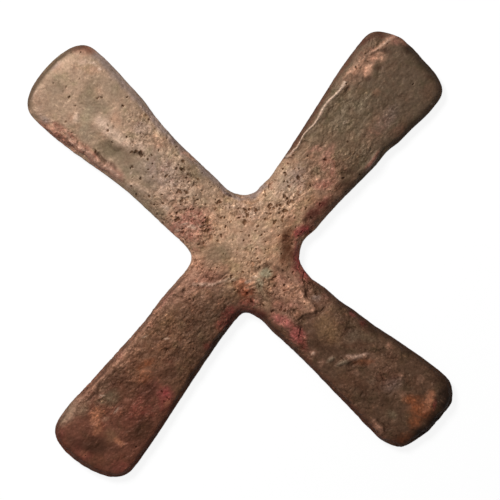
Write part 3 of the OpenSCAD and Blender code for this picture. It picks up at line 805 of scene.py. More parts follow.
def hand_forms(x, y):
    """Height of the lips, laps, creases and hollows, in mm."""
    height = np.zeros(len(x))
    for lip in LIPS:
        points, away, _, share = path_distance(x, y, lip.path, 2 * lip.half_width)
        ends = smooth(0, 0.15, share) * (1 - smooth(0.85, 1, share))
        raised = lip.height * (1 - smooth(0, FORM_REACH * lip.half_width, away))
        height[points] += raised * (0.35 + 0.65 * ends)
    for lap in LAPS:
        points, away, side, _ = path_distance(x, y, lap.path, lap.run)
        upper = np.where(side < 0, 1, -LAP_FOOT)
        height[points] += lap.height * upper * smooth(0, LAP_STEP, away) * (1 - smooth(0, lap.run, away))
    for crease in CREASES:
        points, away, _, share = path_distance(x, y, crease.path, 2 * crease.half_width)
        ends = smooth(0, 0.2, share) * (1 - smooth(0.8, 1, share))
        broken = smooth(-0.9, 0.6, np.sin(x[points] * 1.1 + 1.5 * np.sin(y[points] * 0.7)))
        sunk = crease.depth * (1 - smooth(0, FORM_REACH * crease.half_width, away))
        height[points] -= sunk * ends * broken
    for hollow in HOLLOWS:
        height -= hollow.depth * (1 - smooth(0.2, 1.1, oval(x, y, hollow)))
    return height


def ragged_edge(x, y):
    """Shares of a form's own size by which its edge swings out and in."""
    return 0.25 * np.sin(3.1 * x + 1.6 * np.sin(2.3 * y)) + 0.25 * np.sin(2.7 * y + 1.9 * np.sin(2.9 * x))


def large_pits(x, y):
    """Depth of the large pits, from 0 to 1; small ones are shallow."""
    depth = np.zeros(len(x))
    ragged = ragged_edge(x, y)
    for at_x, at_y, radius in PITS:
        away = np.hypot(x - at_x, y - at_y) / radius + ragged
        depth = np.maximum(depth, min(1, radius * radius) * (1 - smooth(0.4, 1.4, away)))
    return depth


def boss_forms(x, y):
    """Height of the bosses in mm, and their marks: 1 on a crest, down to -1 in the crevice round it."""
    height = np.zeros(len(x))
    crest = np.zeros(len(x))
    crevice = np.zeros(len(x))
    ragged = 0.5 * ragged_edge(0.6 * x, 0.6 * y)
    for boss in BOSSES:
        away = oval(x, y, boss) + ragged
        rise = 1 - smooth(0.2, 1.1, away)
        height = np.maximum(height, boss.height * rise)
        crest = np.maximum(crest, rise)
        crevice = np.maximum(crevice, smooth(0.8, 1.15, away) * (1 - smooth(1.2, 1.7, away)))
    crevice *= 1 - crest
    return height - CREVICE_DEPTH * crevice, crest - crevice


def ground_color(x, y, patina):
    """Colour of the ground, blended from place to place, and brown far from every mark."""
    total = np.full(len(x), LEAST_WEIGHT)
    mixed = np.full((len(x), 3), LEAST_WEIGHT) * np.array(patina.brown)
    for ground in GROUNDS:
        weight = np.exp(-GROUND_FALL * oval(x, y, ground) ** 2)
        total += weight
        mixed += weight[:, None] * np.array(getattr(patina, ground.color))
    return mixed / total[:, None]


def stain_amount(x, y, front, kind):
    """Strength of one colour of stain, from 0 to 1: fainter on the back, and there without streaks."""
    amount = np.zeros(len(x))
    for stain in STAINS:
        if stain.color == kind:
            amount = np.maximum(amount, stain.strength * (1 - smooth(0.2, 1.3, oval(x, y, stain))))
    amount *= BACK_STAINS + (1 - BACK_STAINS) * front
    for streak in STREAKS:
        if streak.color == kind:
            points, away, _, _ = path_distance(x, y, streak.path, 2 * streak.half_width)
            along = streak.strength * (1 - smooth(0, STREAK_REACH * streak.half_width, away))
            amount[points] = np.maximum(amount[points], along * front[points])
    return amount


def trimmed(x, y):
    """Shift of the outline in plan, in mm, where it bulges or draws in."""
    shift_x = np.zeros(len(x))
    shift_y = np.zeros(len(x))
    for trim in TRIMS:
        weight = trim.amount * (1 - smooth(0, trim.reach, np.hypot(x - trim.x, y - trim.y)))
        shift_x += weight * math.cos(math.radians(trim.turn))
        shift_y += weight * math.sin(math.radians(trim.turn))
    return shift_x, shift_y


# Meshes

def link_object(name, data):
    """A new object at the origin."""
    made = bpy.data.objects.new(name, data)
    bpy.context.scene.collection.objects.link(made)
    return made


def remove_object(made):
    """Takes an object and its mesh out of the file."""
    mesh = made.data
    bpy.data.objects.remove(made)
    bpy.data.meshes.remove(mesh)


def evaluated_mesh(made):
    """A plain mesh of an object with its modifiers applied."""
    bpy.context.view_layer.update()
    graph = bpy.context.evaluated_depsgraph_get()
    return bpy.data.meshes.new_from_object(made.evaluated_get(graph), depsgraph=graph)


def neck_planes():
    """For each arm, a point on its neck plane and the direction out along the arm."""
    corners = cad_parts[CROSSING].data.vertices
    tree = KDTree(len(corners))
    for corner in corners:
        tree.insert(corner.co, corner.index)
    tree.balance()
    planes = {}
    for arm in ARMS:
        touching = []
        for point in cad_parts[arm].data.vertices:
            if tree.find(point.co)[2] < TOUCHING:
                touching.append(point.co)
        places = np.array(touching)
        middle = places.mean(axis=0)
        spread = places[:, :2] - middle[:2]
        across = np.linalg.svd(spread, full_matrices=False)[2][0]
        out = Vector((across[1], -across[0], 0))
        low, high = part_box(arm)
        if out.dot((low + high) / 2 - Vector(middle)) < 0:
            out.negate()
        planes[arm] = (Vector(middle), out.normalized())
    return planes


def merged_casting(planes):
    """Mesh of the whole casting: copies of the solids, joined, without the faces where they meet."""
    form = bmesh.new()
    for node in (CROSSING, *ARMS):
        form.from_mesh(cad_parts[node].data)
    bmesh.ops.remove_doubles(form, verts=form.verts, dist=TOUCHING)
    inner = []
    for face in form.faces:
        for point, out in planes.values():
            if all(abs((corner.co - point).dot(out)) < ON_PLANE for corner in face.verts):
                inner.append(face)
                break
    bmesh.ops.delete(form, geom=inner, context="FACES_ONLY")
    mesh = bpy.data.meshes.new(SKIN)
    form.to_mesh(mesh)
    form.free()
    return mesh


def refined_casting(mesh, spacing):
    """The casting's surface with evenly spread points, twice as close on the upper face."""
    blank = link_object(SKIN, mesh)
    remesh = blank.modifiers.new("even", "REMESH")
    remesh.mode = "VOXEL"
    remesh.voxel_size = spacing
    relax = blank.modifiers.new("relax", "SMOOTH")
    relax.iterations = 5
    even = evaluated_mesh(blank)
    remove_object(blank)
    form = bmesh.new()
    form.from_mesh(even)
    form.normal_update()
    upper = {edge for face in form.faces if face.normal.z > 0.2 for edge in face.edges}
    bmesh.ops.subdivide_edges(form, edges=list(upper), cuts=1, use_grid_fill=True)
    many_sided = [face for face in form.faces if len(face.verts) > 4]
    bmesh.ops.triangulate(form, faces=many_sided)
    form.to_mesh(even)
    form.free()
    return even


def store_floats(mesh, name, values):
    """Keeps one number for each point of a mesh under a name."""
    layer = mesh.attributes.new(name, "FLOAT", "POINT")
    layer.data.foreach_set("value", values.astype(np.float32))


def store_vectors(mesh, name, values):
    """Keeps three numbers for each point of a mesh under a name."""
    layer = mesh.attributes.new(name, "FLOAT_VECTOR", "POINT")
    layer.data.foreach_set("vector", values.astype(np.float32).ravel())


def point_arrays(mesh):
    """Places in mm and normals of a mesh's points."""
    count = len(mesh.vertices)
    places = np.empty(count * 3, np.float32)
    mesh.vertices.foreach_get("co", places)
    normals = np.empty(count * 3, np.float32)
    mesh.vertex_normals.foreach_get("vector", normals)
    return places.reshape(-1, 3).astype(float) / MM, normals.reshape(-1, 3).astype(float)


def outline_distance(x, y, upright):
    """How far in from the outline the points of the upper face lie, in mm."""
    sides = np.nonzero(np.abs(upright) < 0.3)[0]
    tree = KDTree(len(sides))
    for side in sides:
        tree.insert((x[side], y[side], 0), side)
    tree.balance()
    away = np.zeros(len(x))
    for point in np.nonzero(upright > 0.15)[0]:
        away[point] = tree.find((x[point], y[point], 0))[2]
    return away


def mark_fields(mesh, settings, patina):
    """Stores the forms and the patina placed one by one on the points of the skin."""
    places, normals = point_arrays(mesh)
    x, y, z = places.T
    upright = normals[:, 2]
    shift_x, shift_y = trimmed(x, y)
    moved = np.stack([x + shift_x, y + shift_y, z], axis=1)
    mesh.vertices.foreach_set("co", (moved * MM).astype(np.float32).ravel())
    # How upright the skin's normals stand tells the face from the sides and the back
    upper = smooth(-0.1, 0.5, upright)
    back = smooth(0.3, 0.9, -upright)
    wobbled_x, wobbled_y = wobbled(x, y)
    inward = np.clip(outline_distance(x, y, upright) * MM / settings.shoulder_width, 0, 1)
    shoulder = settings.shoulder_drop * (1 - inward) ** 2
    bosses, boss_marks = boss_forms(wobbled_x, wobbled_y)
    form = (hand_forms(wobbled_x, wobbled_y) + bosses) * MM - shoulder
    store_floats(mesh, "form", form * smooth(0.15, 0.8, upright))
    store_floats(mesh, "boss", boss_marks * upper)
    store_floats(mesh, "large_pit", large_pits(wobbled_x, wobbled_y) * upper)
    side = 1 - smooth(0.1, 0.65, np.abs(upright))
    store_floats(mesh, "side", side)
    pitted = field_value(x, y, PITTED, PITTED_ELSEWHERE) * (BACK_PITS + (1 - BACK_PITS) * upper)
    store_floats(mesh, "pit_share", pitted * (1 - side))
    store_floats(mesh, "rough", SIDE_ROUGH + (1 - SIDE_ROUGH) * upper + BACK_ROUGH * back)
    store_floats(mesh, "coarse", field_value(x, y, COARSE, COARSE_ELSEWHERE))
    store_floats(mesh, "flaky", field_value(x, y, FLAKY, FLAKY_ELSEWHERE) * upper)
    # Which of the two runs the crinkles follow: 0 where x and y have the same sign, 1 where they have not
    store_floats(mesh, "falling", smooth(-12, 12, np.abs(x - y) - np.abs(x + y)))
    # The back keeps the ground of the face, and takes faint stains turned half round
    facing = np.where(upright > -0.3, 1, -1)
    front = np.maximum(facing, 0)
    store_vectors(mesh, "ground", ground_color(x, y, patina))
    for kind in STAIN_COLORS + ("grime_and_shade",):
        amount = stain_amount(facing * wobbled_x, facing * wobbled_y, front, kind)
        store_floats(mesh, "stain_" + kind, amount)


# Node trees

class Graph:
    """Short calls for building a node tree."""

    def __init__(self, tree):
        self.tree = tree

    def node(self, kind, **settings):
        """A new node with its settings."""
        made = self.tree.nodes.new(kind)
        for name, value in settings.items():
            setattr(made, name, value)
        return made

    def feed(self, socket, value):
        """Links an output to a socket, or sets the socket's own value."""
        if isinstance(value, bpy.types.NodeSocket):
            self.tree.links.new(value, socket)
        else:
            socket.default_value = value

    def math(self, operation, *values):
        """A sum, product or other operation on numbers."""
        made = self.node("ShaderNodeMath", operation=operation)
        for socket, value in zip(made.inputs, values):
            self.feed(socket, value)
        return made.outputs[0]

    def remap(self, value, low, high, to_low=0.0, to_high=1.0):
        """Carries one range of numbers over to another, with a soft start and end."""
        made = self.node("ShaderNodeMapRange", interpolation_type="SMOOTHSTEP")
        for socket, number in zip(made.inputs, (value, low, high, to_low, to_high)):
            self.feed(socket, number)
        return made.outputs[0]

    def vector(self, operation, first, second):
        """A sum or product of two vectors."""
        made = self.node("ShaderNodeVectorMath", operation=operation)
        self.feed(made.inputs[0], first)
        self.feed(made.inputs[1], second)
        return made.outputs[0]

    def scaled(self, vector, share):
        """A vector or a colour times a number."""
        made = self.node("ShaderNodeVectorMath", operation="SCALE")
        self.feed(made.inputs[0], vector)
        self.feed(made.inputs["Scale"], share)
        return made.outputs[0]

    def noise(self, vector, scale, detail, roughness, seed):
        """A cloud of chance values round one half."""
        made = self.node("ShaderNodeTexNoise", noise_dimensions="4D")
        for name, value in (("Vector", vector), ("W", seed), ("Scale", scale), ("Detail", detail),
                            ("Roughness", roughness)):
            self.feed(made.inputs[name], value)
        return made.outputs

    def mix(self, share, first, second):
        """A colour between two colours, whose sockets come after those for numbers and vectors."""
        made = self.node("ShaderNodeMix", data_type="RGBA")
        self.feed(made.inputs["Factor"], share)
        self.feed(made.inputs[6], first)
        self.feed(made.inputs[7], second)
        return made.outputs[2]


RELIEF_SIZES = ("swell_size", "swell_height", "lump_size", "lump_height", "crinkle_size", "crinkle_height",
                "crinkle_stretch", "knob_size", "knob_height", "cavity_size", "cavity_depth", "grain_size",
                "grain_height", "patch_size", "flake_size", "flake_height", "pit_pitch", "pit_depth")


# The chance relief: depth of a crevice between knobs, half the rise at the edge of a flake, and how much of
# the coarseness the calmest and the wildest patches have
CREVICE_LEVEL = 0.2
FLAKE_EDGE = 0.04
CALMEST = 0.6
WILDEST = 1.2

# Small pits, in shares of their pitch: how far and how finely they are stirred out of line, the least radius,
# and what the widest ones have more
PIT_STIR = 1.3
PIT_LEAST = 0.15
PIT_SPREAD = 0.22


def relief_tree():
    """Geometry Nodes that raise the chance relief of the casting and sink its gas pits."""
    tree = bpy.data.node_groups.new("casting_relief", "GeometryNodeTree")
    tree.interface.new_socket("Geometry", in_out="INPUT", socket_type="NodeSocketGeometry")
    for name in RELIEF_SIZES:
        tree.interface.new_socket(name, in_out="INPUT", socket_type="NodeSocketFloat")
    tree.interface.new_socket("seed", in_out="INPUT", socket_type="NodeSocketInt")
    tree.interface.new_socket("material", in_out="INPUT", socket_type="NodeSocketMaterial")
    tree.interface.new_socket("Geometry", in_out="OUTPUT", socket_type="NodeSocketGeometry")
    graph = Graph(tree)
    given = graph.node("NodeGroupInput").outputs
    place = graph.node("GeometryNodeInputPosition").outputs[0]

    def named(name):
        made = graph.node("GeometryNodeInputNamedAttribute", data_type="FLOAT")
        made.inputs["Name"].default_value = name
        return made.outputs["Attribute"]

    def cloud(where, size, detail, roughness, step):
        """Chance values from about -1 to 1 over spans of one size."""
        scale = graph.math("DIVIDE", 1.0, given[size])
        seed = graph.math("ADD", given["seed"], step)
        chance = graph.noise(where, scale, detail, roughness, seed)["Fac"]
        return graph.math("MULTIPLY_ADD", chance, 2.0, -1.0)

    def knobs(size, roughness, step):
        """Rounded knobs with sharp crevices between: from -0.2 in a crevice to about 0.4 on a knob."""
        rounded = graph.math("ABSOLUTE", cloud(place, size, 2.0, roughness, step))
        return graph.math("SUBTRACT", rounded, CREVICE_LEVEL)

    def drawn_out(turn):
        """Places with the run of the crinkles laid along x and shortened there."""
        turned = graph.node("ShaderNodeVectorRotate", rotation_type="Z_AXIS")
        graph.feed(turned.inputs["Vector"], place)
        graph.feed(turned.inputs["Angle"], math.radians(-turn))
        shorter = graph.node("ShaderNodeCombineXYZ")
        graph.feed(shorter.inputs[0], graph.math("DIVIDE", 1.0, given["crinkle_stretch"]))
        shorter.inputs[1].default_value = 1.0
        shorter.inputs[2].default_value = 1.0
        return graph.vector("MULTIPLY", turned.outputs[0], shorter.outputs[0])

    def along_arms(size, detail, roughness, step):
        """Chance values drawn out along the run of the arms."""
        rising = cloud(drawn_out(RISING_RUN), size, detail, roughness, step)
        falling = cloud(drawn_out(FALLING_RUN), size, detail, roughness, step + 0.5)
        return graph.math("MULTIPLY_ADD", graph.math("SUBTRACT", falling, rising), named("falling"), rising)

    coarse = named("coarse")
    swell = cloud(place, "swell_size", detail=1.0, roughness=0.5, step=0.0)
    swell = graph.math("MULTIPLY", swell, given["swell_height"])
    lump = knobs("lump_size", roughness=0.5, step=1.0)
    crinkle = along_arms("crinkle_size", detail=3.0, roughness=0.62, step=2.0)
    knob = knobs("knob_size", roughness=0.55, step=8.0)
    grain = cloud(place, "grain_size", detail=1.0, roughness=0.5, step=4.0)
    flake = along_arms("flake_size", detail=4.0, roughness=0.55, step=5.0)
    flake = graph.math("MULTIPLY", graph.remap(flake, -FLAKE_EDGE, FLAKE_EDGE), named("flaky"))
    fine = graph.math("ADD", graph.math("MULTIPLY", crinkle, given["crinkle_height"]),
                      graph.math("MULTIPLY", grain, given["grain_height"]))
    fine = graph.math("MULTIPLY_ADD", knob, given["knob_height"], fine)
    patch = cloud(place, "patch_size", detail=1.0, roughness=0.5, step=9.0)
    patch = graph.remap(patch, -0.25, 0.25, CALMEST, WILDEST)
    uneven = graph.math("MULTIPLY", coarse, patch)
    chance = graph.math("MULTIPLY_ADD", fine, uneven, swell)
    bulge = graph.math("MULTIPLY", given["lump_height"], graph.remap(coarse, 0.0, 1.0, 0.2, 1.0))
    chance = graph.math("MULTIPLY_ADD", lump, bulge, chance)
    chance = graph.math("MULTIPLY_ADD", flake, given["flake_height"], chance)
    chance = graph.math("MULTIPLY", chance, named("rough"))

    # Ragged cavities, which lie in clumps where the skin is coarse
    clump = cloud(place, "lump_size", detail=1.0, roughness=0.5, step=6.0)
    clump = graph.remap(clump, -0.3, 0.35, 0.38, 0.04)
    spongy = cloud(place, "cavity_size", detail=2.0, roughness=0.6, step=7.0)
    spongy = graph.math("SUBTRACT", spongy, clump)
    cavity = graph.math("MULTIPLY", graph.remap(spongy, 0.0, 0.12), graph.remap(uneven, 0.2, 0.9))
    cavity = graph.math("MULTIPLY", cavity, graph.remap(named("pit_share"), 0.0, 0.25, 0.35, 1.0))
    chance = graph.math("SUBTRACT", chance, graph.math("MULTIPLY", cavity, given["cavity_depth"]))

    # Small pits: the cells of a Voronoi pattern that chance keeps, each with its own width
    stir_scale = graph.math("DIVIDE", PIT_STIR, given["pit_pitch"])
    stir = graph.noise(place, stir_scale, 1.0, 0.5, given["seed"])["Color"]
    stir = graph.vector("ADD", stir, (-0.5, -0.5, -0.5))
    stirred = graph.scaled(stir, graph.math("MULTIPLY", given["pit_pitch"], PIT_STIR))
    cells = graph.node("ShaderNodeTexVoronoi", voronoi_dimensions="2D", feature="F1")
    graph.feed(cells.inputs["Vector"], graph.vector("ADD", place, stirred))
    graph.feed(cells.inputs["Scale"], graph.math("DIVIDE", 1.0, given["pit_pitch"]))
    chances = graph.node("ShaderNodeSeparateXYZ")
    graph.feed(chances.inputs[0], cells.outputs["Color"])
    kept = graph.math("LESS_THAN", chances.outputs[1], named("pit_share"))
    width = chances.outputs[0]
    radius = graph.math("MULTIPLY_ADD", graph.math("MULTIPLY", width, width), PIT_SPREAD, PIT_LEAST)
    bowl = graph.remap(graph.math("DIVIDE", cells.outputs["Distance"], radius), 0.5, 1.0, 1.0, 0.0)
    small_pit = graph.math("MULTIPLY", bowl, kept)
    small_pit = graph.math("MULTIPLY", small_pit, graph.remap(width, 0.0, 1.0, 0.6, 1.0))
    pit = graph.math("MAXIMUM", small_pit, named("large_pit"))
    sunk = graph.math("MULTIPLY", pit, given["pit_depth"])

    height = graph.math("SUBTRACT", graph.math("ADD", chance, named("form")), sunk)
    normal = graph.node("GeometryNodeInputNormal").outputs[0]
    moved = graph.node("GeometryNodeSetPosition")
    graph.feed(moved.inputs["Geometry"], given["Geometry"])
    graph.feed(moved.inputs["Offset"], graph.scaled(normal, height))
    shape = moved.outputs[0]
    marks = {"pit": pit, "cavity": cavity, "crinkle": crinkle, "knob": knob, "lump": lump, "grain": grain,
             "uneven": uneven}
    for name, value in marks.items():
        kept_value = graph.node("GeometryNodeStoreNamedAttribute", data_type="FLOAT", domain="POINT")
        kept_value.inputs["Name"].default_value = name
        graph.feed(kept_value.inputs["Geometry"], shape)
        graph.feed(kept_value.inputs["Value"], value)
        shape = kept_value.outputs[0]
    realized = graph.node("GeometryNodeRealizeInstances")
    graph.feed(realized.inputs[0], shape)
    painted = graph.node("GeometryNodeSetMaterial")
    graph.feed(painted.inputs["Geometry"], realized.outputs[0])
    graph.feed(painted.inputs["Material"], given["material"])
    graph.feed(graph.node("NodeGroupOutput").inputs[0], painted.outputs[0])
    return tree


def with_relief(mesh, settings, material):
    """The skin's mesh after its Geometry Nodes."""
    skin = link_object(SKIN, mesh)
    tree = relief_tree()
    relief = skin.modifiers.new("relief", "NODES")
    relief.node_group = tree
    for socket in tree.interface.items_tree:
        if socket.in_out == "INPUT" and socket.name in RELIEF_SIZES + ("seed",):
            relief[socket.identifier] = getattr(settings, socket.name)
        elif socket.in_out == "INPUT" and socket.name == "material":
            relief[socket.identifier] = material
    made = evaluated_mesh(skin)
    remove_object(skin)
    bpy.data.node_groups.remove(tree)
    return made


# Patina

# Chance patterns of the patina: scale for a metre, detail, roughness and seed
Pattern = namedtuple("Pattern", "scale detail roughness seed")
PATTERNS = {
    "cloud": Pattern(110, 3, 0.55, 1),
    "second_cloud": Pattern(140, 3, 0.55, 2),
    "mottle": Pattern(290, 4, 0.6, 3),
    "second_mottle": Pattern(330, 4, 0.6, 4),
    "speck": Pattern(900, 3, 0.6, 5),
    "fleck": Pattern(1300, 2, 0.5, 7),
    "dust": Pattern(2500, 1, 0.5, 6),
}
# The same for patterns that are drawn out along the arms
DRAWN_PATTERNS = {
    # Strokes along the arms, whose palest values are painted glints
    "glint_dash": Pattern(950, 2, 0.5, 8),
    "sweep": Pattern(230, 2, 0.5, 10),
}
# How they are squeezed along the run, across it and upright
DRAWN_SQUEEZE = (0.4, 1, 1)

# Marks that the points of the skin carry
SKIN_MARKS = ("grain", "crinkle", "lump", "knob", "boss", "cavity", "side", "pit", "uneven", "falling")

# Washes over the paint: what each one follows, the values where it starts and where it is full, its share of
# the paint there, and the tint that it multiplies the paint by
Wash = namedtuple("Wash", "follows start full share tint")
CLOUD_WASHES = (
    Wash("cloud", 0.48, 0.68, 0.85, (1.05, 0.93, 0.89)),
    Wash("second_cloud", 0.48, 0.68, 0.85, (0.82, 0.89, 0.8)),
)
PATCH_WASHES = (
    Wash("mottle", 0.52, 0.68, 0.6, (1.03, 0.85, 0.82)),
    Wash("second_mottle", 0.54, 0.7, 0.7, (1.3, 1.3, 1.25)),
    Wash("second_mottle", 0.46, 0.3, 0.6, (0.62, 0.58, 0.54)),
    Wash("sweep", 0.52, 0.68, 0.8, (1.25, 1.25, 1.22)),
    Wash("sweep", 0.48, 0.32, 0.8, (0.7, 0.65, 0.61)),
)
# Paler on high crinkles, lumps and knobs: rubbed wear and partly painted highlights; darker in low places and
# crevices: dark film and partly painted shade
RELIEF_WEAR_AND_LIGHT_WASHES = (
    Wash("height", 0.1, 0.6, 0.8, (1.5, 1.5, 1.48)),
    Wash("height", -0.1, -0.6, 0.6, (0.54, 0.48, 0.43)),
    Wash("lump", -0.11, -0.2, 0.5, (0.55, 0.47, 0.4)),
    Wash("lump", 0.02, 0.25, 0.5, (1.25, 1.25, 1.23)),
    Wash("knob", -0.11, -0.2, 0.45, (0.47, 0.38, 0.31)),
    Wash("knob", 0.05, 0.3, 0.5, (1.3, 1.3, 1.28)),
)
# Paler on the crests of the bosses, partly painted highlight, and darker in the crevices round them, partly
# painted shade
BOSS_WEAR_AND_LIGHT_WASHES = (
    Wash("boss", 0.1, 1, 0.5, (1.22, 1.2, 1.18)),
    Wash("boss", -0.1, -0.9, 0.35, (0.48, 0.38, 0.32)),
)
PIT_WASHES = (Wash("pit", 0.05, 0.5, 0.95, (0.34, 0.25, 0.18)),)
# Pale flecks and pale strokes are painted glints; dark strokes are partly painted shade in small crevices,
# dark flecks darker specks
FLECK_AND_GLINT_WASHES = (
    Wash("fleck", 0.42, 0.3, 0.9, (0.55, 0.48, 0.43)),
    Wash("fleck", 0.6, 0.72, 0.9, (1.4, 1.38, 1.35)),
    Wash("glint_dash", 0.44, 0.3, 0.95, (0.5, 0.44, 0.39)),
    Wash("glint_dash", 0.58, 0.7, 0.95, (1.6, 1.6, 1.58)),
    Wash("glint_dash", 0.66, 0.74, 0.9, (1.7, 1.7, 1.7)),
)

# Dark oxide in the cavities, dark patina and painted shade along the margins, and umber on the sides
CAVITY_SHARE = 0.85
CAVITY_TINT = (0.4, 0.3, 0.22)
GRIME_AND_SHADE_TINT = (0.2, 0.15, 0.12)
SIDE_UMBER = 0.2

# How the finest relief is made up, and how the skin takes the light
GRAIN_IN_HEIGHT = 0.35
BUMP_STRENGTH = 0.8
BUMP_DEPTH = 0.25 * MM
DUST_IN_BUMP = 0.5
METALLIC = 0.2
SPECULAR = 0.12
SMOOTHEST = 0.46
ROUGHEST = 0.62


def patina_material(patina):
    """Brown-patinated copper: stains over a ground, broken up by clouds, with dark pits and rubbed tips, the
    tips partly painted highlights, with painted glints, and with painted shade in crevices and on the shaded
    margins.
    """
    material = bpy.data.materials.new(SLOT)
    material.use_nodes = True
    graph = Graph(material.node_tree)
    graph.tree.nodes.clear()
    place = graph.node("ShaderNodeTexCoord").outputs["Object"]

    def named(name):
        return graph.node("ShaderNodeAttribute", attribute_name=name).outputs

    def tone(name):
        return (*getattr(patina, name), 1)

    def drawn_out(turn, pattern, seed):
        """Chance values that run on in one direction."""
        turned = graph.node("ShaderNodeVectorRotate", rotation_type="Z_AXIS")
        graph.feed(turned.inputs["Vector"], place)
        turned.inputs["Angle"].default_value = math.radians(-turn)
        squeezed = graph.vector("MULTIPLY", turned.outputs[0], DRAWN_SQUEEZE)
        return graph.noise(squeezed, pattern.scale, pattern.detail, pattern.roughness, seed)["Fac"]

    def tinted(paint, share, tint):
        """A paint turned by a share to its product with a tint."""
        return graph.mix(share, paint, graph.vector("MULTIPLY", paint, tint))

    def washed(paint, washes, where=1.0):
        """A paint after some washes, each as strong as the place allows."""
        for wash in washes:
            share = graph.remap(values[wash.follows], wash.start, wash.full, 0, wash.share)
            paint = tinted(paint, graph.math("MULTIPLY", share, where), wash.tint)
        return paint

    values = {name: named(name)["Fac"] for name in SKIN_MARKS}
    for name, pattern in PATTERNS.items():
        values[name] = graph.noise(place, *pattern)["Fac"]
    for name, pattern in DRAWN_PATTERNS.items():
        rising = drawn_out(RISING_RUN, pattern, pattern.seed)
        falling = drawn_out(FALLING_RUN, pattern, pattern.seed + 0.5)
        change = graph.math("SUBTRACT", falling, rising)
        values[name] = graph.math("MULTIPLY_ADD", change, values["falling"], rising)
    values["height"] = graph.math("MULTIPLY_ADD", values["grain"], GRAIN_IN_HEIGHT, values["crinkle"])
    coarse = values["uneven"]
    patchy = graph.remap(coarse, 0, 1, 0.3, 1)

    # Ground with soft clouds, warmer or greyer, and stains with ragged fringes
    paint = washed(named("ground")["Color"], CLOUD_WASHES)
    ragged = graph.math("MULTIPLY_ADD", values["speck"], 1.2, -1.3)
    ragged = graph.math("MULTIPLY_ADD", values["mottle"], 1.4, ragged)
    ragged = graph.math("MULTIPLY", ragged, graph.remap(coarse, 0, 0.8, 0.5, 1))
    # Some stains are painted shade, the black ones and some umber ones, and some pale ones are partly painted
    # highlights
    for kind in STAIN_COLORS:
        stain = named("stain_" + kind)["Fac"]
        amount = graph.math("MULTIPLY_ADD", ragged, graph.remap(stain, 0, 0.4), stain)
        paint = graph.mix(amount, paint, tone(kind))

    # Small patches and sweeps that are redder, paler or darker, more of them where the skin is coarse
    paint = washed(paint, PATCH_WASHES, patchy)

    # High places are rubbed pale, partly painted highlight; low places and crevices darken, partly painted
    # shade;
    # cavities and pits hold dark oxide, sides turn towards umber, and margins take dark patina and painted
    # shade
    paint = washed(paint, RELIEF_WEAR_AND_LIGHT_WASHES, coarse)
    paint = washed(paint, BOSS_WEAR_AND_LIGHT_WASHES)
    paint = tinted(paint, graph.math("MULTIPLY", values["cavity"], CAVITY_SHARE), CAVITY_TINT)
    # The sides are turned towards umber
    paint = graph.mix(graph.remap(values["side"], 0, 1, 0, SIDE_UMBER), paint, tone("umber"))
    paint = washed(paint, PIT_WASHES)
    # Margins darkened: dark patina, and painted shade on the margins that face away from the lamp
    paint = tinted(paint, named("stain_grime_and_shade")["Fac"], GRIME_AND_SHADE_TINT)

    # Specks and a lift where the skin is coarse, then flecks and strokes along the arms, the pale ones
    # painted glints
    paint = graph.scaled(paint, graph.remap(values["speck"], 0.25, 0.75, 0.82, 1.18))
    paint = graph.scaled(paint, graph.remap(coarse, 0, 1, 1, 1.1))
    paint = washed(paint, FLECK_AND_GLINT_WASHES, patchy)

    bump = graph.node("ShaderNodeBump")
    bump.inputs["Strength"].default_value = BUMP_STRENGTH
    bump.inputs["Distance"].default_value = BUMP_DEPTH
    fine = graph.math("MULTIPLY_ADD", values["dust"], DUST_IN_BUMP, values["speck"])
    fine = graph.math("ADD", fine, values["glint_dash"])
    graph.feed(bump.inputs["Height"], graph.math("MULTIPLY", fine, patchy))
    shader = graph.node("ShaderNodeBsdfPrincipled")
    shader.inputs["Metallic"].default_value = METALLIC
    shader.inputs["Specular IOR Level"].default_value = SPECULAR
    graph.feed(shader.inputs["Base Color"], paint)
    graph.feed(shader.inputs["Roughness"], graph.remap(values["mottle"], 0.3, 0.7, SMOOTHEST, ROUGHEST))
    graph.feed(shader.inputs["Normal"], bump.outputs[0])
    graph.feed(graph.node("ShaderNodeOutputMaterial").inputs["Surface"], shader.outputs[0])
    return material


# Pieces

# How near a cut counts as on it: in metres while cutting, in mm when the cut is found again
CUT_MARGIN = 1e-8
ON_CUT = 0.001


def finished_skin(scene):
    """The whole skin, made once: relief, patina and the fields that the patina reads."""
    made = bpy.data.objects.get(SKIN)
    if made:
        return made
    settings = scene.cross_casting
    mesh = refined_casting(merged_casting(neck_planes()), settings.mesh_size)
    mark_fields(mesh, settings, scene.cross_patina)
    mesh = with_relief(mesh, settings, patina_material(scene.cross_patina))
    _, normals = point_arrays(mesh)
    store_vectors(mesh, "skin_normal", normals)
    made = link_object(SKIN, mesh)
    made.hide_render = True
    return made


def keep_skin_normals(mesh, cuts):
    """Shades a piece as the unbroken skin was shaded, and its cut faces flat."""
    corner_points = np.empty(len(mesh.loops), np.int32)
    mesh.loops.foreach_get("vertex_index", corner_points)
    stored = np.empty(len(mesh.vertices) * 3, np.float32)
    mesh.attributes["skin_normal"].data.foreach_get("vector", stored)
    normals = stored.reshape(-1, 3)[corner_points].astype(float)
    starts = np.empty(len(mesh.polygons), np.int32)
    mesh.polygons.foreach_get("loop_start", starts)
    counts = np.empty(len(mesh.polygons), np.int32)
    mesh.polygons.foreach_get("loop_total", counts)
    places, _ = point_arrays(mesh)
    for point, out in cuts:
        on_cut = np.abs((places - np.array(point) / MM) @ np.array(out)) < ON_CUT
        cut_faces = np.add.reduceat(on_cut[corner_points].astype(int), starts) == counts
        normals[np.repeat(cut_faces, counts)] = np.array(out)
    mesh.attributes.remove(mesh.attributes["skin_normal"])
    mesh.shade_smooth()
    mesh.normals_split_custom_set(normals)


def stray_points(form, node, planes):
    """Points that lie further out along another arm than along the one that is wanted."""
    places = np.array([corner.co for corner in form.verts])
    outs = np.array([planes[arm][1] for arm in ARMS])
    nearest = np.argmax(places @ outs.T, axis=1)
    return [corner for corner, arm in zip(form.verts, nearest) if ARMS[arm] != node]


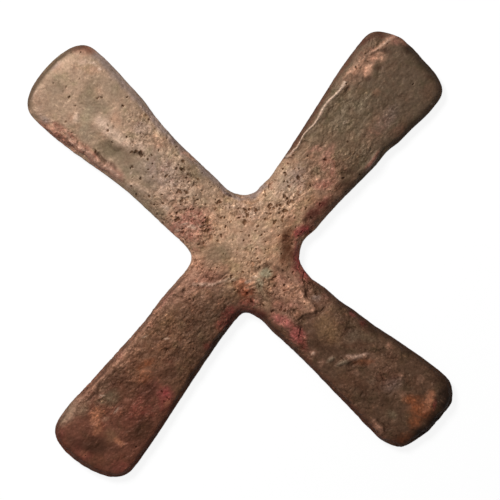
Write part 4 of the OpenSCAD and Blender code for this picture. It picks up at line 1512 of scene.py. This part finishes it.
def cut_piece(skin, node, planes):
    """The part of the skin that belongs to a solid, cut at the necks and closed there with flat faces."""
    if node == CROSSING:
        cuts = list(planes.values())
    else:
        point, out = planes[node]
        cuts = [(point, -out)]
    form = bmesh.new()
    form.from_mesh(skin.data)
    for point, out in cuts:
        everything = list(form.verts) + list(form.edges) + list(form.faces)
        bmesh.ops.bisect_plane(form, geom=everything, dist=CUT_MARGIN, plane_co=point, plane_no=out,
                               clear_outer=True)
        if node != CROSSING:
            # The neck plane of one arm also leaves corners of the arms beside it
            bmesh.ops.delete(form, geom=stray_points(form, node, planes), context="VERTS")
        rim = [edge for edge in form.edges if edge.is_boundary]
        bmesh.ops.edgeloop_fill(form, edges=rim)
    bmesh.ops.triangulate(form, faces=[face for face in form.faces if len(face.verts) > 4])
    form.normal_update()
    mesh = bpy.data.meshes.new(node + "_skin")
    form.to_mesh(mesh)
    form.free()
    mesh.materials.append(skin.data.materials[0])
    keep_skin_normals(mesh, cuts)
    piece = link_object(node + "_skin", mesh)
    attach(piece, BODY)
    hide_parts(node)


class CROSS_OT_crossing(bpy.types.Operator):
    """Makes the crossing of the casting"""
    bl_idname = "cross.crossing"
    bl_label = "Crossing"

    def execute(self, context):
        cut_piece(finished_skin(context.scene), CROSSING, neck_planes())
        return {"FINISHED"}


class CROSS_OT_arms(bpy.types.Operator):
    """Makes the four flared arms of the casting"""
    bl_idname = "cross.arms"
    bl_label = "Arms"

    def execute(self, context):
        skin = finished_skin(context.scene)
        planes = neck_planes()
        for arm in ARMS:
            cut_piece(skin, arm, planes)
        remove_object(skin)
        return {"FINISHED"}


# Stage

# Lamp, floor and camera, in metres; the view is measured at the level where the casting is widest
LAMP_SIZE = 0.35
LAMP_PLACE = (-0.45, 0.5, 0.72)
FLOOR_REACH = 3
FLOOR_LEVEL = -0.2 * MM
FLOOR_GLOW = 0.88
WIDEST_LEVEL = 3.2 * MM
CAMERA_X = 2.6 * MM
CAMERA_Y = 2.1 * MM


def floor_material(floor):
    """Pale floor that the eye sees as white, with the casting's shadow on it."""
    material = bpy.data.materials.new("floor")
    material.use_nodes = True
    graph = Graph(material.node_tree)
    graph.tree.nodes.clear()
    paths = graph.node("ShaderNodeLightPath").outputs
    seen = graph.math("MAXIMUM", paths["Is Camera Ray"], paths["Is Glossy Ray"])
    seen = graph.math("MAXIMUM", seen, paths["Is Transmission Ray"])
    glow = graph.node("ShaderNodeEmission")
    graph.feed(glow.inputs["Strength"], graph.math("MULTIPLY", seen, FLOOR_GLOW))
    matt = graph.node("ShaderNodeBsdfDiffuse")
    matt.inputs["Color"].default_value = (*floor, 1)
    both = graph.node("ShaderNodeAddShader")
    graph.feed(both.inputs[0], glow.outputs[0])
    graph.feed(both.inputs[1], matt.outputs[0])
    graph.feed(graph.node("ShaderNodeOutputMaterial").inputs["Surface"], both.outputs[0])
    return material


def light_world(strength):
    """Even light from all round, in front of a background that is white to the eye."""
    world = bpy.data.worlds.new("studio")
    world.use_nodes = True
    graph = Graph(world.node_tree)
    graph.tree.nodes.clear()
    paths = graph.node("ShaderNodeLightPath").outputs
    seen = graph.math("MAXIMUM", paths["Is Camera Ray"], paths["Is Transmission Ray"])
    sky = graph.node("ShaderNodeBackground")
    graph.feed(sky.inputs["Strength"], graph.remap(seen, 0, 1, strength, 1.0))
    graph.feed(graph.node("ShaderNodeOutputWorld").inputs["Surface"], sky.outputs[0])
    bpy.context.scene.world = world


def hang_lamp(name, power, size, place):
    """A round soft lamp that points at the middle of the casting."""
    lamp = bpy.data.lights.new(name, "AREA")
    lamp.shape = "DISK"
    lamp.size = size
    lamp.energy = power
    hung = link_object(name, lamp)
    hung.location = place
    hung.rotation_euler = (-hung.location).to_track_quat("-Z", "Y").to_euler()


class CROSS_OT_stage(bpy.types.Operator):
    """Makes the floor, the light and the camera"""
    bl_idname = "cross.stage"
    bl_label = "Stage"

    def execute(self, context):
        scene = context.scene
        settings = scene.cross_stage
        scene.view_settings.view_transform = "Standard"
        light_world(settings.sky_strength)
        hang_lamp("key_lamp", settings.key_power, LAMP_SIZE, LAMP_PLACE)

        signs = ((-1, -1), (1, -1), (1, 1), (-1, 1))
        corners = [(x * FLOOR_REACH, y * FLOOR_REACH, FLOOR_LEVEL) for x, y in signs]
        mesh = bpy.data.meshes.new("floor")
        mesh.from_pydata(corners, [], [(0, 1, 2, 3)])
        mesh.materials.append(floor_material(settings.floor))
        link_object("floor", mesh)

        lens = bpy.data.cameras.new("camera")
        lens.lens = settings.lens
        distance = settings.view_width * settings.lens / lens.sensor_width
        camera = link_object("camera", lens)
        camera.location = (CAMERA_X, CAMERA_Y, WIDEST_LEVEL + distance)
        scene.camera = camera
        return {"FINISHED"}


class CROSS_PT_panel(bpy.types.Panel):
    """Lists the pieces, the sizes and the colours of the cross"""
    bl_idname = "CROSS_PT_panel"
    bl_label = "Cast copper cross"
    bl_space_type = "VIEW_3D"
    bl_region_type = "UI"
    bl_category = "Cross"

    def draw(self, context):
        for operator in (CROSS_OT_crossing, CROSS_OT_arms, CROSS_OT_stage):
            self.layout.operator(operator.bl_idname)
        scene = context.scene
        for settings in (scene.cross_casting, scene.cross_patina, scene.cross_stage):
            for name in settings.bl_rna.properties.keys():
                if name not in ("rna_type", "name"):
                    self.layout.prop(settings, name)


CLASSES = (CastingSettings, PatinaSettings, StageSettings,
           CROSS_OT_crossing, CROSS_OT_arms, CROSS_OT_stage, CROSS_PT_panel)


def register():
    """Adds the classes and the settings to Blender."""
    for made in CLASSES:
        bpy.utils.register_class(made)
    bpy.types.Scene.cross_casting = bpy.props.PointerProperty(type=CastingSettings)
    bpy.types.Scene.cross_patina = bpy.props.PointerProperty(type=PatinaSettings)
    bpy.types.Scene.cross_stage = bpy.props.PointerProperty(type=StageSettings)


def unregister():
    """Takes the settings and the classes out again."""
    del bpy.types.Scene.cross_stage
    del bpy.types.Scene.cross_patina
    del bpy.types.Scene.cross_casting
    for made in reversed(CLASSES):
        bpy.utils.unregister_class(made)


def main():
    """Makes the pieces and the stage."""
    register()
    bpy.ops.cross.crossing()
    bpy.ops.cross.arms()
    bpy.ops.cross.stage()


if __name__ == "__main__":
    main()
